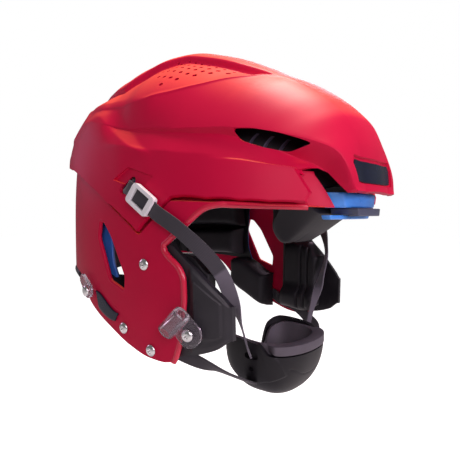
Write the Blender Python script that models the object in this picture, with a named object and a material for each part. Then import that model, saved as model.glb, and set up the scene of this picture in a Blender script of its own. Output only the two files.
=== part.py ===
"""Contact-sport helmet with a two-layer shell, inner cap, pads, chin cup and webbing.

Sizes are millimetres here and become metres in the meshes. The origin is the middle of the head:
+X leaves the face opening, -Y is the wearer's right and +Z is up.
"""
import math

import bmesh
import bpy
import numpy as np
from mathutils import Vector

MM = 0.001

# Shell forms: the middle's place along X, the reach each way, and the fullness of plan and profile
UPPER_FORM = dict(centre=-40.0, front=184.0, back=118.0, side=113.5, up=161.0, down=340.0,
                  plan=2.4, profile=2.15)
LOWER_FORM = dict(centre=-5.0, front=140.0, back=149.0, side=109.5, up=230.0, down=340.0,
                  plan=2.35, profile=2.35)

WALL = 3.2              # moulded shell wall
GAP = 0.4               # clearance between pieces that touch
HUB_Z = -40.0           # the upper shell's columns fan out from this height on the middle plane
FLANGE = 12.0           # how far the lower shell reaches up behind the upper one
FLANGE_DEPTH = 5.5      # how far inside the upper shell it lies there
RIM_STEP = (2.2, 3.4)   # below the upper shell's rim, where the lower shell steps in to pass behind it
CAP_DEPTH = 15.0        # inner cap, below the upper form
CAP_WALL = 2.5
PAD_DEPTH = 19.2        # back of the pads that lie in the inner cap

# Upper shell: crown channels, hood and rear panel
BAND_LIFT = 2.5         # raised band along the crown
CHANNEL_DROP = 3.5      # perforated channels beside the band
RIDGE_LIFT = 2.0
REAR_LIFT = 3.0
CHANNEL_FRONT = 67.0    # fan angles, degrees: 0 is forward, 90 is up
CHANNEL_BACK = 118.0
STEP_ANGLE = 1.5        # over which a step at the end of a channel rises
BAND_RISE = 14.0        # over which the crown band rises in front
FAN_FRONT = 26.0
FAN_BACK = 146.5

# Front stack under the beak
STACK_BACK = 117.5
BLOCK_FRONT = 136.0
TONGUE_FRONT = 142.0
BLOCK_Z = (19.5, 30.6)
TONGUE_Z = (14.6, 19.1)
TONGUE_LIP = (130.0, 13.4)      # ahead of the shelf the tongue is thicker: from this place, down to this height
SHELF_FRONT = 129.0
SHELF_Z = (11.0, 14.2)

# Webbing and its buckle
STRAP_WIDTH = 11.0
STRAP_GATHERED = 4.6    # width where the webbing is folded to pass the cup's slot
STRAP_THICK = 1.5
STRAP_RISE = 2.9        # middle of the webbing above the shell, where the buckle's bars pass under it
BUCKLE_SIZE = (24.0, 16.0, 4.6)
TEMPLE_SLOT = (-6.5, 36.8)      # middle of the slot that the webbing comes out of, seen from the side
TEMPLE_SLOT_SIZE = (17.0, 6.2)

# Fasteners
SCREW_HEAD = 9.0
SCREW_SHANK = 4.4
SCREW_HOLE = 5.2
SHELL_SCREWS = [(10.4, -22.3), (-14.0, -73.5), (15.2, -86.0)]
CLIP_SCREW = (50.5, -69.0)
CLIP_TILT = 45.0        # the clip's tube climbs forward at this angle
CLIP_REACH = 12.5       # tube to screw
TUBE_OUTER = 6.5
TUBE_INNER = 3.8
TUBE_LENGTH = 19.0
TUBE_HEIGHT = TUBE_OUTER + 0.6      # middle of the tube above the shell
POST_PLACE = (-60.0, -49.0)

# Chin cup
CUP_CENTRE = (60.0, 0.0, -93.0)
CUP_REACH = dict(front=34.0, back=34.0, side=44.5, down=43.5)
CUP_FULLNESS = dict(front=2.4, back=4.0, profile=2.4)
CUP_WALL = 3.5
LINER_WALL = 4.5
LINER_GAP = 1.5         # between cup and liner, so that their facets stay clear
LIP_PROUD = 0.4         # the liner's lip stands this far out of the cup
CUP_SLOT = (62.0, -44.0, -96.8)
CUP_SLOT_SIZE = (12.5, 5.4)
CUP_HOLE = (60.5, -43.0, -108.0)
CUP_HINGE = (62.0, 0.0, -96.8)

FINISHES = {
    "shell_red": ((0.62, 0.015, 0.045), 0.38, 0.0),
    "cap_blue": ((0.03, 0.16, 0.62), 0.35, 0.0),
    "pad_black": ((0.022, 0.020, 0.026), 0.75, 0.0),
    "hard_black": ((0.028, 0.026, 0.032), 0.5, 0.0),
    "webbing_grey": ((0.075, 0.068, 0.08), 0.85, 0.0),
    "buckle_white": ((0.85, 0.84, 0.86), 0.4, 0.0),
    "clear_plastic": ((0.55, 0.54, 0.56), 0.2, 0.0),
    "chrome": ((0.75, 0.74, 0.74), 0.2, 1.0),
    "plate_dark": ((0.015, 0.018, 0.035), 0.3, 0.0),
    "liner_grey": ((0.10, 0.09, 0.105), 0.7, 0.0),
}


class Form:
    """A rounded helmet form: a superellipsoid whose halves have unlike reach."""

    def __init__(self, centre, front, back, side, up, down, plan, profile):
        self.centre = centre
        self.front, self.back, self.side = front, back, side
        self.up, self.down = up, down
        self.plan, self.profile = plan, profile

    def grown(self, by):
        return Form(self.centre, self.front + by, self.back + by, self.side + by, self.up + by, self.down + by,
                    self.plan, self.profile)

    def along(self, x):
        return abs(x - self.centre) / (self.front if x > self.centre else self.back)

    def height(self, z):
        return abs(z) / (self.up if z > 0 else self.down)

    def level(self, point):
        """Below 1 inside the form."""
        x, y, z = point
        ring = self.along(x) ** self.plan + (abs(y) / self.side) ** self.plan
        return ring ** (self.profile / self.plan) + self.height(z) ** self.profile

    def ring_at(self, z):
        return max(1.0 - self.height(z) ** self.profile, 0.0) ** (self.plan / self.profile)

    def side_point(self, x, z):
        """The right-hand surface point seen at (x, z) from the side."""
        rest = max(self.ring_at(z) - self.along(x) ** self.plan, 0.0)
        return Vector((x, -self.side * rest ** (1.0 / self.plan), z))

    def band_point(self, azimuth, z):
        """The surface point at a height, in a direction seen from above; +90 degrees is the wearer's right."""
        ahead, aside = math.cos(math.radians(azimuth)), math.sin(math.radians(azimuth))
        reach = self.front if ahead > 0 else self.back
        spread = (abs(ahead) / reach) ** self.plan + (abs(aside) / self.side) ** self.plan
        radius = (self.ring_at(z) / spread) ** (1.0 / self.plan)
        return Vector((self.centre + radius * ahead, -radius * aside, z))

    def azimuth(self, point):
        return math.degrees(math.atan2(-point[1], point[0] - self.centre))

    def ray_distance(self, origin, direction):
        near, far = 0.0, 400.0
        for _ in range(36):
            middle = (near + far) / 2
            if self.level(origin + middle * direction) < 1.0:
                near = middle
            else:
                far = middle
        return near

    def normal(self, point):
        step = 0.5
        slope = []
        for axis in range(3):
            shift = Vector((0.0, 0.0, 0.0))
            shift[axis] = step
            slope.append(self.level(point + shift) - self.level(point - shift))
        return Vector(slope).normalized()


UPPER = Form(**UPPER_FORM)
LOWER = Form(**LOWER_FORM)
HUB = Vector((0.0, 0.0, HUB_Z))


def smooth(value, low, high):
    t = min(max((value - low) / (high - low), 0.0), 1.0)
    return t * t * (3.0 - 2.0 * t)


class Curve:
    """A value along a line: eased through its keys, or straight between them where corners are wanted."""

    def __init__(self, keys, eased=True):
        self.at = [k[0] for k in sorted(keys)]
        self.values = [k[1] for k in sorted(keys)]
        self.eased = eased

    def slope(self, i):
        if i == 0 or i == len(self.at) - 1:
            return 0.0
        before = (self.values[i] - self.values[i - 1]) / (self.at[i] - self.at[i - 1])
        after = (self.values[i + 1] - self.values[i]) / (self.at[i + 1] - self.at[i])
        return 0.0 if before * after <= 0 else 2.0 * before * after / (before + after)

    def __call__(self, place):
        if not self.eased or place <= self.at[0] or place >= self.at[-1]:
            return float(np.interp(place, self.at, self.values))
        i = int(np.searchsorted(self.at, place)) - 1
        span = self.at[i + 1] - self.at[i]
        t = (place - self.at[i]) / span
        rise = self.values[i + 1] - self.values[i]
        ease = self.values[i] + rise * t * t * (3 - 2 * t)
        bend = span * (self.slope(i) * t * (1 - t) ** 2 - self.slope(i + 1) * t * t * (1 - t))
        return ease + bend


def fan_angles(point):
    """Fan angle round the side-to-side axis, and spread away from the middle plane, both in degrees."""
    x, y, z = Vector(point) - HUB
    return math.degrees(math.atan2(z, x)), math.degrees(math.atan2(abs(y), math.hypot(x, z)))


def fan_direction(angle, spread):
    a, s = math.radians(angle), math.radians(spread)
    return Vector((math.cos(s) * math.cos(a), -math.sin(s), math.cos(s) * math.sin(a)))


def fan_point(form, angle, spread, lift=0.0):
    direction = fan_direction(angle, spread)
    return HUB + direction * (form.ray_distance(HUB, direction) + lift)


def side_line(form, keys, eased=True):
    """Spread against fan angle, through points seen from the side."""
    pairs = [fan_angles(form.side_point(x, z)) for x, z in keys]
    return Curve(pairs, eased)


# Feature lines of the upper shell: spread against fan angle, or points seen from the side (x, z)
BAND_EDGE = Curve([(26, 4.5), (50, 5.6), (60, 8.0), (66, 9.8), (76, 12.3), (90.8, 13.6), (100, 16.5), (109.7, 21.0),
                   (115.7, 24.5), (125, 18.0), (146, 11.0)])
RIDGE = Curve([(26, 7.5), (50, 9.0), (60, 11.5), (65.3, 15.0), (67.5, 17.7), (71.9, 21.0), (77.5, 25.0), (86.4, 29.3),
               (95.8, 31.7), (106.8, 30.8), (114.8, 29.8), (125, 24.0), (146, 17.0)])
HOOD = Curve([(26.2, 13.8), (28.3, 14.4), (31.6, 15.3), (34.7, 16.4), (37.2, 18.3), (39.6, 20.5), (43.9, 23.9),
              (48.6, 26.8), (53.1, 29.6), (58.5, 32.4), (70.2, 36.7), (82.6, 38.5), (95.5, 38.3), (110, 35.8),
              (125, 29.6), (146, 28.7)])
WING_TOP = side_line(UPPER, [(136, 22), (113, 45), (100, 47.8), (84, 50.8), (60, 53.5), (30, 57), (0, 60),
                             (-40, 66), (-80, 70)])
BORDER_KEYS = [(140, 21), (119, 23.7), (102, 24.3), (84.5, 25.4), (61.6, 26.6), (34.7, 27.8), (25, 18.6),
               (4.6, 2.4), (-10, 12.8), (-29.5, 24.4), (-52, 38), (-77, 50), (-110, 57), (-140, 56), (-153, 55)]
BORDER = side_line(UPPER, BORDER_KEYS, eased=False)

CROWN_LIFT = Curve([(26, 5.0), (32, 7.0), (37.6, 10.2), (43, 11.6), (47.5, 9.6), (53, 6.2), (59, 2.0), (63, -1.6),
                    (67, -4.0), (74, -5.0), (80, -4.2), (86, -2.8), (92, -0.8), (98, -1.2), (104, -3.6), (110, -4.0),
                    (114, -2.6), (118, -2.4), (122, -2.6), (130, -1.0), (146.5, 0.0)])
HOOD_LIFT = Curve([(26, 9.0), (31, 11.0), (36, 12.0), (41, 9.5), (50, 3.8), (60, 2.5), (75, 1.5), (95, 0.0), (120, 0.0),
                   (134, 1.5), (146.5, 1.5)])
UNDER_LIFT = Curve([(26, 0.0), (36, -4.0), (41, -6.0), (50, -5.0), (60, -4.0), (75, -2.0), (95, 0.0)])
CREASE_LIFT = Curve([(26, -2.0), (37, -3.0), (45, -2.0), (60, 0.0)])
WING_LIFT = Curve([(26, 0.0), (37, 1.2), (45, 0.6), (60, 0.0)])
REAR_HOOD = (104.0, 112.0)      # fan angles over which the rear panel rises, at the hood line and at the wing
REAR_WING = (88.0, 104.0)


def upper_rows(angle):
    """(spread, lift) at each feature line, from the middle plane to the border."""
    rear_step = smooth(angle, CHANNEL_BACK, CHANNEL_BACK + STEP_ANGLE)
    channel = smooth(angle, CHANNEL_FRONT - STEP_ANGLE, CHANNEL_FRONT) * (1 - rear_step)
    band = smooth(angle, CHANNEL_FRONT - BAND_RISE, CHANNEL_FRONT) * (1 - rear_step)
    rear = REAR_LIFT * rear_step
    rear_hood = REAR_LIFT * smooth(angle, *REAR_HOOD)
    rear_wing = 0.6 * REAR_LIFT * smooth(angle, *REAR_WING)
    crown = CROWN_LIFT(angle)
    border = BORDER(angle)
    band_edge, ridge, hood, wing = BAND_EDGE(angle), RIDGE(angle), HOOD(angle), WING_TOP(angle)
    rows = [
        (0.0, BAND_LIFT * band + crown, 0.0),
        (band_edge - 1.0, BAND_LIFT * band + crown, 0.24),
        (band_edge + 1.2, -CHANNEL_DROP * channel + crown, 0.28),
        (ridge - 2.5, -0.6 * CHANNEL_DROP * channel + 0.5 * rear + crown, 0.44),
        (ridge, RIDGE_LIFT * band + rear + crown, 0.50),
        (hood, HOOD_LIFT(angle) + rear_hood, 0.62),
        (hood + 1.4, UNDER_LIFT(angle) + rear_hood, 0.66),
        (wing - 1.2, CREASE_LIFT(angle) + rear_wing, 0.82),
        (wing, WING_LIFT(angle) + rear_wing, 0.86),
        (border, 0.0, 1.0),
    ]
    placed = []
    for spread, lift, share in rows:
        least = placed[-1][0] + 0.25 if placed else 0.0
        placed.append((max(min(spread, share * border), least), lift))
    return placed


UPPER_STEPS = [3, 1, 2, 1, 3, 1, 2, 1, 3]


def upper_column(angle, inset):
    """One column of the upper shell from the left border over the crown to the right border."""
    rows = upper_rows(angle)
    places = []
    for steps, (spread_a, lift_a), (spread_b, lift_b) in zip(UPPER_STEPS, rows, rows[1:]):
        for i in range(steps):
            t = i / steps
            places.append((spread_a + t * (spread_b - spread_a), lift_a + t * (lift_b - lift_a)))
    places.append(rows[-1])
    right = [fan_point(UPPER, angle, spread, lift - inset) for spread, lift in places]
    return [mirrored(p) for p in reversed(right[1:])] + right


def upper_lift(angle, spread):
    rows = upper_rows(angle)
    return float(np.interp(spread, [r[0] for r in rows], [r[1] for r in rows]))


# Lower edge of the lower shell and of the upper one, against azimuth round the lower form
BOTTOM_KEYS = [(60, -92), (34, -92), (27, -93), (13, -92), (-8, -86), (-32, -75), (-50, -66.5), (-64, -58),
               (-76, -45), (-88, -36), (-110, -33), (-151, -32)]
BOTTOM = Curve([(LOWER.azimuth(LOWER.side_point(x, z)), z) for x, z in BOTTOM_KEYS])
RIM = Curve([(LOWER.azimuth(UPPER.side_point(x, z)), z) for x, z in BORDER_KEYS], eased=False)


def lower_point(azimuth, z):
    """On the lower form, but drawn in behind the upper shell from just under its rim."""
    point = LOWER.band_point(azimuth, z)
    if z > RIM(azimuth) - sum(RIM_STEP) / 2:
        inner = UPPER.grown(-WALL - FLANGE_DEPTH)
        if inner.level(point) > 1.0:
            axis = Vector((LOWER.centre, 0.0, z))
            direction = (point - axis).normalized()
            point = axis + direction * inner.ray_distance(axis, direction)
    return point


def finish_material(name):
    material = bpy.data.materials.get(name)
    if material is None:
        colour, roughness, metallic = FINISHES[name]
        material = bpy.data.materials.new(name)
        material.use_nodes = True
        shader = material.node_tree.nodes["Principled BSDF"]
        shader.inputs["Base Color"].default_value = (*colour, 1.0)
        shader.inputs["Roughness"].default_value = roughness
        shader.inputs["Metallic"].default_value = metallic
    return material


def mesh_object(name, points, faces, finish=None, origin=(0.0, 0.0, 0.0), closed=True):
    """A named object from points in millimetres, with its origin on the joint axis where one is given."""
    origin = Vector(origin)
    mesh = bpy.data.meshes.new(name)
    mesh.from_pydata([(Vector(p) - origin) * MM for p in points], [], faces)
    if closed:
        body = bmesh.new()
        body.from_mesh(mesh)
        bmesh.ops.recalc_face_normals(body, faces=body.faces)
        body.to_mesh(mesh)
        body.free()
    obj = bpy.data.objects.new(name, mesh)
    obj.location = origin * MM
    bpy.context.collection.objects.link(obj)
    if finish:
        mesh.materials.append(finish_material(finish))
        mesh.shade_smooth()
        mesh.set_sharp_from_angle(angle=math.radians(32))
    return obj


def grid_faces(columns, rows, start=0, wrap=False):
    faces = []
    for c in range(columns if wrap else columns - 1):
        for r in range(rows - 1):
            a, b = start + c * rows + r, start + (c + 1) % columns * rows + r
            faces.append((a, a + 1, b + 1, b))
    return faces


def sheet_object(name, columns, finish):
    """An open sheet whose faces look away from the head."""
    rows = len(columns[0])
    points = [p for column in columns for p in column]
    faces = grid_faces(len(columns), rows)
    a, b, c = (points[faces[0][i]] for i in (0, 1, 2))
    if (b - a).cross(c - b).dot(a - HUB) < 0:
        faces = [face[::-1] for face in faces]
    return mesh_object(name, points, faces, finish, closed=False)


def slab_object(name, outer, inner, finish, origin=(0.0, 0.0, 0.0)):
    """A closed body between two grids of the same size."""
    columns, rows = len(outer), len(outer[0])
    points = [p for grid in (outer, inner) for column in grid for p in column]
    count = columns * rows
    faces = grid_faces(columns, rows) + [f[::-1] for f in grid_faces(columns, rows, count)]
    edge = [c * rows for c in range(columns)]
    edge += [(columns - 1) * rows + r for r in range(1, rows)]
    edge += [c * rows + rows - 1 for c in range(columns - 2, -1, -1)]
    edge += [r for r in range(rows - 2, 0, -1)]
    for a, b in zip(edge, edge[1:] + edge[:1]):
        faces.append((a, b, b + count, a + count))
    return mesh_object(name, points, faces, finish, origin)


def tube_object(name, rings, finish=None, origin=(0.0, 0.0, 0.0)):
    """A closed body lofted through rings of points, capped at both ends."""
    size = len(rings[0])
    points = [p for ring in rings for p in ring]
    faces = [tuple(range(size))[::-1], tuple(range((len(rings) - 1) * size, len(rings) * size))]
    for k in range(len(rings) - 1):
        for i in range(size):
            j = (i + 1) % size
            faces.append((k * size + i, k * size + j, (k + 1) * size + j, (k + 1) * size + i))
    return mesh_object(name, points, faces, finish, origin)


def axes_about(normal, up=Vector((0.0, 0.0, 1.0))):
    """Two tangents of a surface: along it level, and along it upwards."""
    normal = Vector(normal).normalized()
    level = Vector(up).cross(normal).normalized()
    return level, normal.cross(level), normal


def turned(name, place, axis, profile, finish=None, sides=16, origin=None):
    """A turned piece: (radius, height) pairs along an axis from a place."""
    level, rise, axis = axes_about(axis)
    rings = []
    for radius, height in profile:
        ring = []
        for i in range(sides):
            angle = 2 * math.pi * i / sides
            out = math.cos(angle) * level + math.sin(angle) * rise
            ring.append(Vector(place) + axis * height + radius * out)
        rings.append(ring)
    return tube_object(name, rings, finish, place if origin is None else origin)


def as_cutter(obj):
    obj.hide_render = True
    obj.display_type = 'WIRE'
    return obj


def prism(name, outline, y_range):
    """A cutter: a side-view outline carried across from side to side."""
    rings = [[Vector((x, y, z)) for x, z in outline] for y in y_range]
    return as_cutter(tube_object(name, rings))


def boolean(obj, other, operation='DIFFERENCE'):
    modifier = obj.modifiers.new(other.name, 'BOOLEAN')
    modifier.operation = operation
    modifier.solver = 'EXACT'
    modifier.object = other


def mirror_and_wall(obj, wall):
    mirror = obj.modifiers.new("other half", 'MIRROR')
    mirror.use_axis = (False, True, False)
    mirror.merge_threshold = 0.00005
    solid = obj.modifiers.new("wall", 'SOLIDIFY')
    solid.thickness = wall * MM
    solid.offset = -1.0


def mirrored(point):
    return Vector((point[0], -point[1], point[2]))


SIDES = (("right", lambda p: Vector(p)), ("left", mirrored))


def hole_along(name, place, normal, radius, depth, height, sides=12):
    return as_cutter(turned(name, place, normal, [(radius, -depth), (radius, height)], sides=sides))


def buckle_frame():
    """Middle of the right buckle on its strap, and the ways ahead along the strap, aside and out."""
    over = UPPER.grown(STRAP_RISE)
    middle = over.side_point(12.7, 25.2)
    ahead = (over.side_point(16.7, 22.5) - over.side_point(8.7, 27.9)).normalized()
    normal = UPPER.normal(middle)
    normal = (normal - ahead * normal.dot(ahead)).normalized()
    return middle, ahead, normal.cross(ahead), normal


def strap_frame_points():
    """Route of the right upper strap: out of the temple slot, straight under the buckle, down to the cup."""
    middle, ahead, _, _ = buckle_frame()
    inside = UPPER.grown(-WALL - 2.2)
    return [UPPER.grown(-WALL - 5.0).side_point(-12.5, 41.0), inside.side_point(-8.6, 38.4),
            UPPER.grown(-WALL / 2).side_point(*TEMPLE_SLOT), UPPER.grown(1.6).side_point(-4.6, 35.6),
            middle - ahead * 14.5, middle + ahead * 9.0, middle + ahead * 17.0,
            LOWER.grown(2.4).side_point(45, -3), Vector((62, -88, -24)), Vector((64, -71, -50)),
            Vector((62.5, -56, -76)), Vector((62.2, -48.6, -92)), Vector((62.0, -45.0, -97.2))]


def smooth_route(points, per_span):
    """Points along a centripetal Catmull-Rom curve through the route."""
    pts = [2 * points[0] - points[1], *points, 2 * points[-1] - points[-2]]
    route = []
    for i in range(1, len(pts) - 2):
        near = pts[i - 1:i + 3]
        knots = [0.0]
        for p, q in zip(near, near[1:]):
            knots.append(knots[-1] + (q - p).length ** 0.5)
        for k in range(per_span):
            t = knots[1] + (knots[2] - knots[1]) * k / per_span
            level = near
            for step in (1, 2, 3):
                blended = []
                for j in range(4 - step):
                    low, high = (j, j + step) if step < 3 else (1, 2)
                    share = (t - knots[low]) / (knots[high] - knots[low])
                    blended.append(level[j].lerp(level[j + 1], share))
                level = blended
            route.append(level[0])
    route.append(points[-1])
    return route


def strap_object(name, route, facing, width, place, finish):
    """Flat webbing swept along a route; facing(k) is the way its outer face looks at each point."""
    rings = []
    for k, point in enumerate(route):
        ahead = (route[min(k + 1, len(route) - 1)] - route[max(k - 1, 0)]).normalized()
        wide = facing(k).cross(ahead).normalized() * width(k) / 2
        thick = ahead.cross(wide).normalized() * STRAP_THICK / 2
        corners = [point + wide + thick, point - wide + thick, point - wide - thick, point + wide - thick]
        rings.append([place(p) for p in corners])
    return tube_object(name, rings, finish)


VENT = [(70.5, 74.6), (80.5, 64.8), (107.5, 56.6), (118.3, 62.6), (93, 70.4)]
NOTCH = [(113.0, 45.1), (117.5, 46.6), (121.5, 46.4), (127, 43.2), (133.2, 35.9), (138.8, 29.6), (170, 29.6),
         (170, 5), (119.2, 5), (119.2, 23.7), (121.0, 29.7)]
FACE = [(27.7, -7.2), (34.8, -2.0), (57, 17.0), (62, 19.9), (70, 21.6), (170, 18.0), (170, -130), (31, -130),
        (33.5, -93), (36.7, -88.3), (41.6, -74.5), (44.9, -45.5), (44.6, -30), (41, -22.5), (33, -16.5),
        (28.6, -11.8)]
WINDOW = [(-44.4, 10.5), (-47.8, -3.8), (-31.4, -38.5), (-11.9, -45.6), (-10.8, -32.6), (-27.6, -2.0),
          (-38, 9.5)]
ACROSS = (-150.0, 150.0)
ARM_END = ((36.0, 17.0), (48.0, 42.0))      # half width of the gap between the brow arms, at two heights


def build_upper_shell():
    angles = [*np.linspace(FAN_FRONT, CHANNEL_FRONT - STEP_ANGLE, 13)]
    angles += [*np.linspace(CHANNEL_FRONT, CHANNEL_BACK, 12)]
    angles += [*np.linspace(CHANNEL_BACK + STEP_ANGLE, FAN_BACK, 7)]
    outer, inner = ([upper_column(a, inset) for a in angles] for inset in (0.0, WALL))
    shell = slab_object("upper_shell", outer, inner, "shell_red")
    boolean(shell, prism("beak_notch_cutter", NOTCH, ACROSS))
    boolean(shell, prism("vent_cutter", VENT, ACROSS))
    for side, place in SIDES:
        normal = place(UPPER.normal(UPPER.side_point(*TEMPLE_SLOT)))
        centre = place(UPPER.side_point(*TEMPLE_SLOT))
        along = place(Vector((0.73, 0.0, 0.68)))
        boolean(shell, slot_cutter(f"temple_slot_{side}", centre, normal, along, *TEMPLE_SLOT_SIZE, 12.0))
    boolean(shell, badge_body("badge_recess_cutter", -1.7, 6.0, 0.4, None))
    return shell


def slot_cutter(name, centre, normal, along, length, width, depth):
    """A round-ended slot through a wall."""
    normal = normal.normalized()
    along = (along - normal * along.dot(normal)).normalized()
    aside = normal.cross(along)
    outline = []
    for end in (1, -1):
        for i in range(5):
            angle = math.pi * (i / 4 - 0.5)
            outline.append(end * along * ((length - width) / 2 + width / 2 * math.cos(angle))
                           + end * aside * width / 2 * math.sin(angle))
    rings = [[centre + p + normal * h for p in outline] for h in (-depth, depth)]
    return as_cutter(tube_object(name, rings))


BADGE_LOW, BADGE_WIDEST, BADGE_HIGH = 35.2, 45.0, 48.8      # heights of the plate on the beak
BADGE_HALF = Curve([(BADGE_LOW, 30.0), (BADGE_WIDEST, 33.5), (BADGE_HIGH, 31.0)], eased=False)


def badge_body(name, low, high, grow, finish):
    """The plate on the front of the beak: six-sided, following the shell."""
    outer, inner = [], []
    for z in (BADGE_LOW - grow, (BADGE_LOW + BADGE_WIDEST) / 2, BADGE_WIDEST, BADGE_HIGH + grow):
        columns = ([], [])
        for i in range(7):
            y = (i / 3 - 1) * (BADGE_HALF(z) + grow)
            rest = UPPER.ring_at(z) - (abs(y) / UPPER.side) ** UPPER.plan
            x = UPPER.centre + UPPER.front * rest ** (1 / UPPER.plan)
            angle, spread = fan_angles(Vector((x, y, z)))
            lift = upper_lift(angle, spread)
            for column, by in zip(columns, (high, low)):
                point = fan_point(UPPER, angle, spread, lift + by)
                column.append(point if y < 0 else mirrored(point))
        outer.append(columns[0])
        inner.append(columns[1])
    obj = slab_object(name, outer, inner, finish)
    return obj if finish else as_cutter(obj)


LOWER_AZIMUTHS = [*np.linspace(14.5, 120, 25), *np.linspace(125, 180, 10)]


def build_lower_shell():
    columns = []
    for azimuth in LOWER_AZIMUTHS:
        rim = RIM(azimuth)
        bottom = BOTTOM(azimuth)
        heights = [*np.linspace(bottom, rim - RIM_STEP[1], 6), rim - RIM_STEP[0], rim + FLANGE / 2]
        heights.append(rim + FLANGE)
        columns.append([lower_point(azimuth, z) for z in heights])
    for point in columns[-1]:
        point.y = 0.0
    shell = sheet_object("lower_shell", columns, "shell_red")
    mirror_and_wall(shell, WALL)
    boolean(shell, prism("face_cutter", FACE, ACROSS))
    boolean(shell, prism("window_cutter", WINDOW, ACROSS))
    (low_half, low_z), (high_half, high_z) = ARM_END
    gap = [(-low_half, low_z - 10), (low_half, low_z - 10), (low_half, low_z), (high_half, high_z),
           (high_half, high_z + 20), (-high_half, high_z + 20), (-high_half, high_z), (-low_half, low_z)]
    rings = [[Vector((x, y, z)) for y, z in gap] for x in (90.0, 170.0)]
    boolean(shell, as_cutter(tube_object("arm_gap_cutter", rings)))
    for side, place in SIDES:
        for i, (x, z) in enumerate(SHELL_SCREWS, 1):
            on = LOWER.side_point(x, z)
            normal = place(LOWER.normal(on))
            boolean(shell, hole_along(f"screw_hole_{side}_{i}", place(on), normal, SCREW_HOLE / 2, 8, 8))
    return shell


def build_inner_cap():
    """Blue inner cap: over the crown and down the back, open above the brow and in front of the ears."""
    form = UPPER.grown(-CAP_DEPTH)
    border = side_line(form, [(120, 34.5), (100, 35), (70, 37), (30, 41), (-15, 41), (-38, 30), (-50, 2),
                              (-58, -28), (-60, -37)])
    front = fan_angles(form.side_point(120, 34.5))[0]
    grids = []
    for layer in (form, form.grown(-CAP_WALL)):
        columns = []
        for angle in np.linspace(front, 175.0, 22):
            right = [fan_point(layer, angle, border(angle) * r / 7) for r in range(8)]
            columns.append([mirrored(p) for p in reversed(right[1:])] + right)
        grids.append(columns)
    slab_object("inner_cap", *grids, "cap_blue")


def cushion(name, place, depth, thickness, counts, finish="pad_black", grooves=(), swap=None):
    """A padded block: crowned towards the head, with sides drawn in between its corners.

    place(u, v, depth) gives a point for u and v from -1 to 1.
    """
    outer, inner = [], []
    for u in np.linspace(-1, 1, counts[0]):
        outer_column, inner_column = [], []
        for v in np.linspace(-1, 1, counts[1]):
            drawn_u = u * (1 - 0.05 * (1 - v * v))
            drawn_v = v * (1 - 0.05 * (1 - u * u))
            crown = ((1 - u ** 4) * (1 - v ** 4)) ** 0.5
            groove = sum(math.exp(-((u - g) / 0.07) ** 2) for g in grooves)
            inset = thickness * (0.55 + 0.45 * crown) - 3.0 * groove * crown
            outer_column.append(place(drawn_u, drawn_v, depth))
            inner_column.append(place(drawn_u * 0.93, drawn_v * 0.93, depth + inset))
        outer.append(outer_column)
        inner.append(inner_column)
    if swap:
        outer = [[swap(p) for p in column] for column in outer]
        inner = [[swap(p) for p in column] for column in inner]
    return slab_object(name, outer, inner, finish)


def between(low, high, t):
    return low + (high - low) * (t + 1) / 2


def band_place(form, azimuths, heights):
    def place(u, v, depth):
        return form.grown(-depth).band_point(between(*azimuths, u), between(*heights, v))
    return place


def fan_place(angles, spreads):
    def place(u, v, depth):
        return fan_point(UPPER.grown(-depth), between(*angles, u), between(*spreads, v))
    return place


def side_place(form, xs, bottom, top):
    """Across a side-view patch: x by u, and between two edge curves by v."""
    def place(u, v, depth):
        x = between(*xs, u)
        return form.grown(-depth).side_point(x, between(bottom(x), top(x), v))
    return place


JAW_TOP = Curve([(4, -9), (27, -5.5), (46, -19), (71, -43), (77, -49)])
JAW_BOTTOM = Curve([(4, -84), (35, -87.5), (45, -86.5), (64, -81), (77, -73)])
GUARD_PROUD = 2.0       # the guard's face in front of the shell, above its face behind the shell
GUARD_BACK = 4.0
JAW_PAD_TOP = Curve([(10, -14), (27, -10), (44, -13), (58, -27)])
JAW_PAD_BOTTOM = Curve([(10, -84), (35, -88), (45, -86), (58, -77)])
JAW_PAD_REACH = (10.0, 58.0)
JAW_PAD_STEP = 8.0          # its lower end stands this far off the shell
JAW_PAD_TURN = (56.0, 70.0)     # below the middle, where it begins to stand off and where it does in full
NAPE_PAD_TOP = Curve([(-58, -36), (-42, -33.5), (-31, -38.5), (-8.5, -51)])
NAPE_PAD_BOTTOM = Curve([(-58, -62), (-41, -74), (-8.5, -88)])


def build_pads():
    cushion("rear_pad", band_place(UPPER, (139.0, 221.0), (-33.0, 36.0)), PAD_DEPTH, 22.0, (13, 6),
            grooves=(-0.33, 0.33))
    cushion("crown_pad", both_sides(fan_place((64.0, 120.0), (0.0, 22.0))), PAD_DEPTH, 20.0, (9, 9),
            grooves=(0.0,))
    cushion("front_pad", front_pad_place, 0.0, FRONT_PAD_THICK, (17, 6), grooves=(-0.3, 0.3))
    upper_side = band_place(UPPER, (90.5, 136.0), (1.0, 38.0))
    lower_side = band_place(UPPER, (92.0, 136.0), (-31.0, -1.0))
    crown_side = fan_place((62.0, 116.0), (25.0, 41.0))
    nape = side_place(LOWER, (-58.0, -8.5), NAPE_PAD_BOTTOM, NAPE_PAD_TOP)
    for side, place in SIDES:
        cushion(f"upper_side_pad_{side}", upper_side, PAD_DEPTH, 20.0, (7, 5), swap=place)
        cushion(f"lower_side_pad_{side}", lower_side, PAD_DEPTH, 20.0, (7, 5), swap=place)
        cushion(f"crown_side_pad_{side}", crown_side, PAD_DEPTH, 18.0, (8, 5), swap=place)
        cushion(f"nape_pad_{side}", nape, 6.0, 21.0, (7, 5), swap=place)
        cushion(f"jaw_pad_{side}", jaw_pad_place, 9.6, 15.0, (9, 6), grooves=(0.1, 0.5), swap=place)


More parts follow.
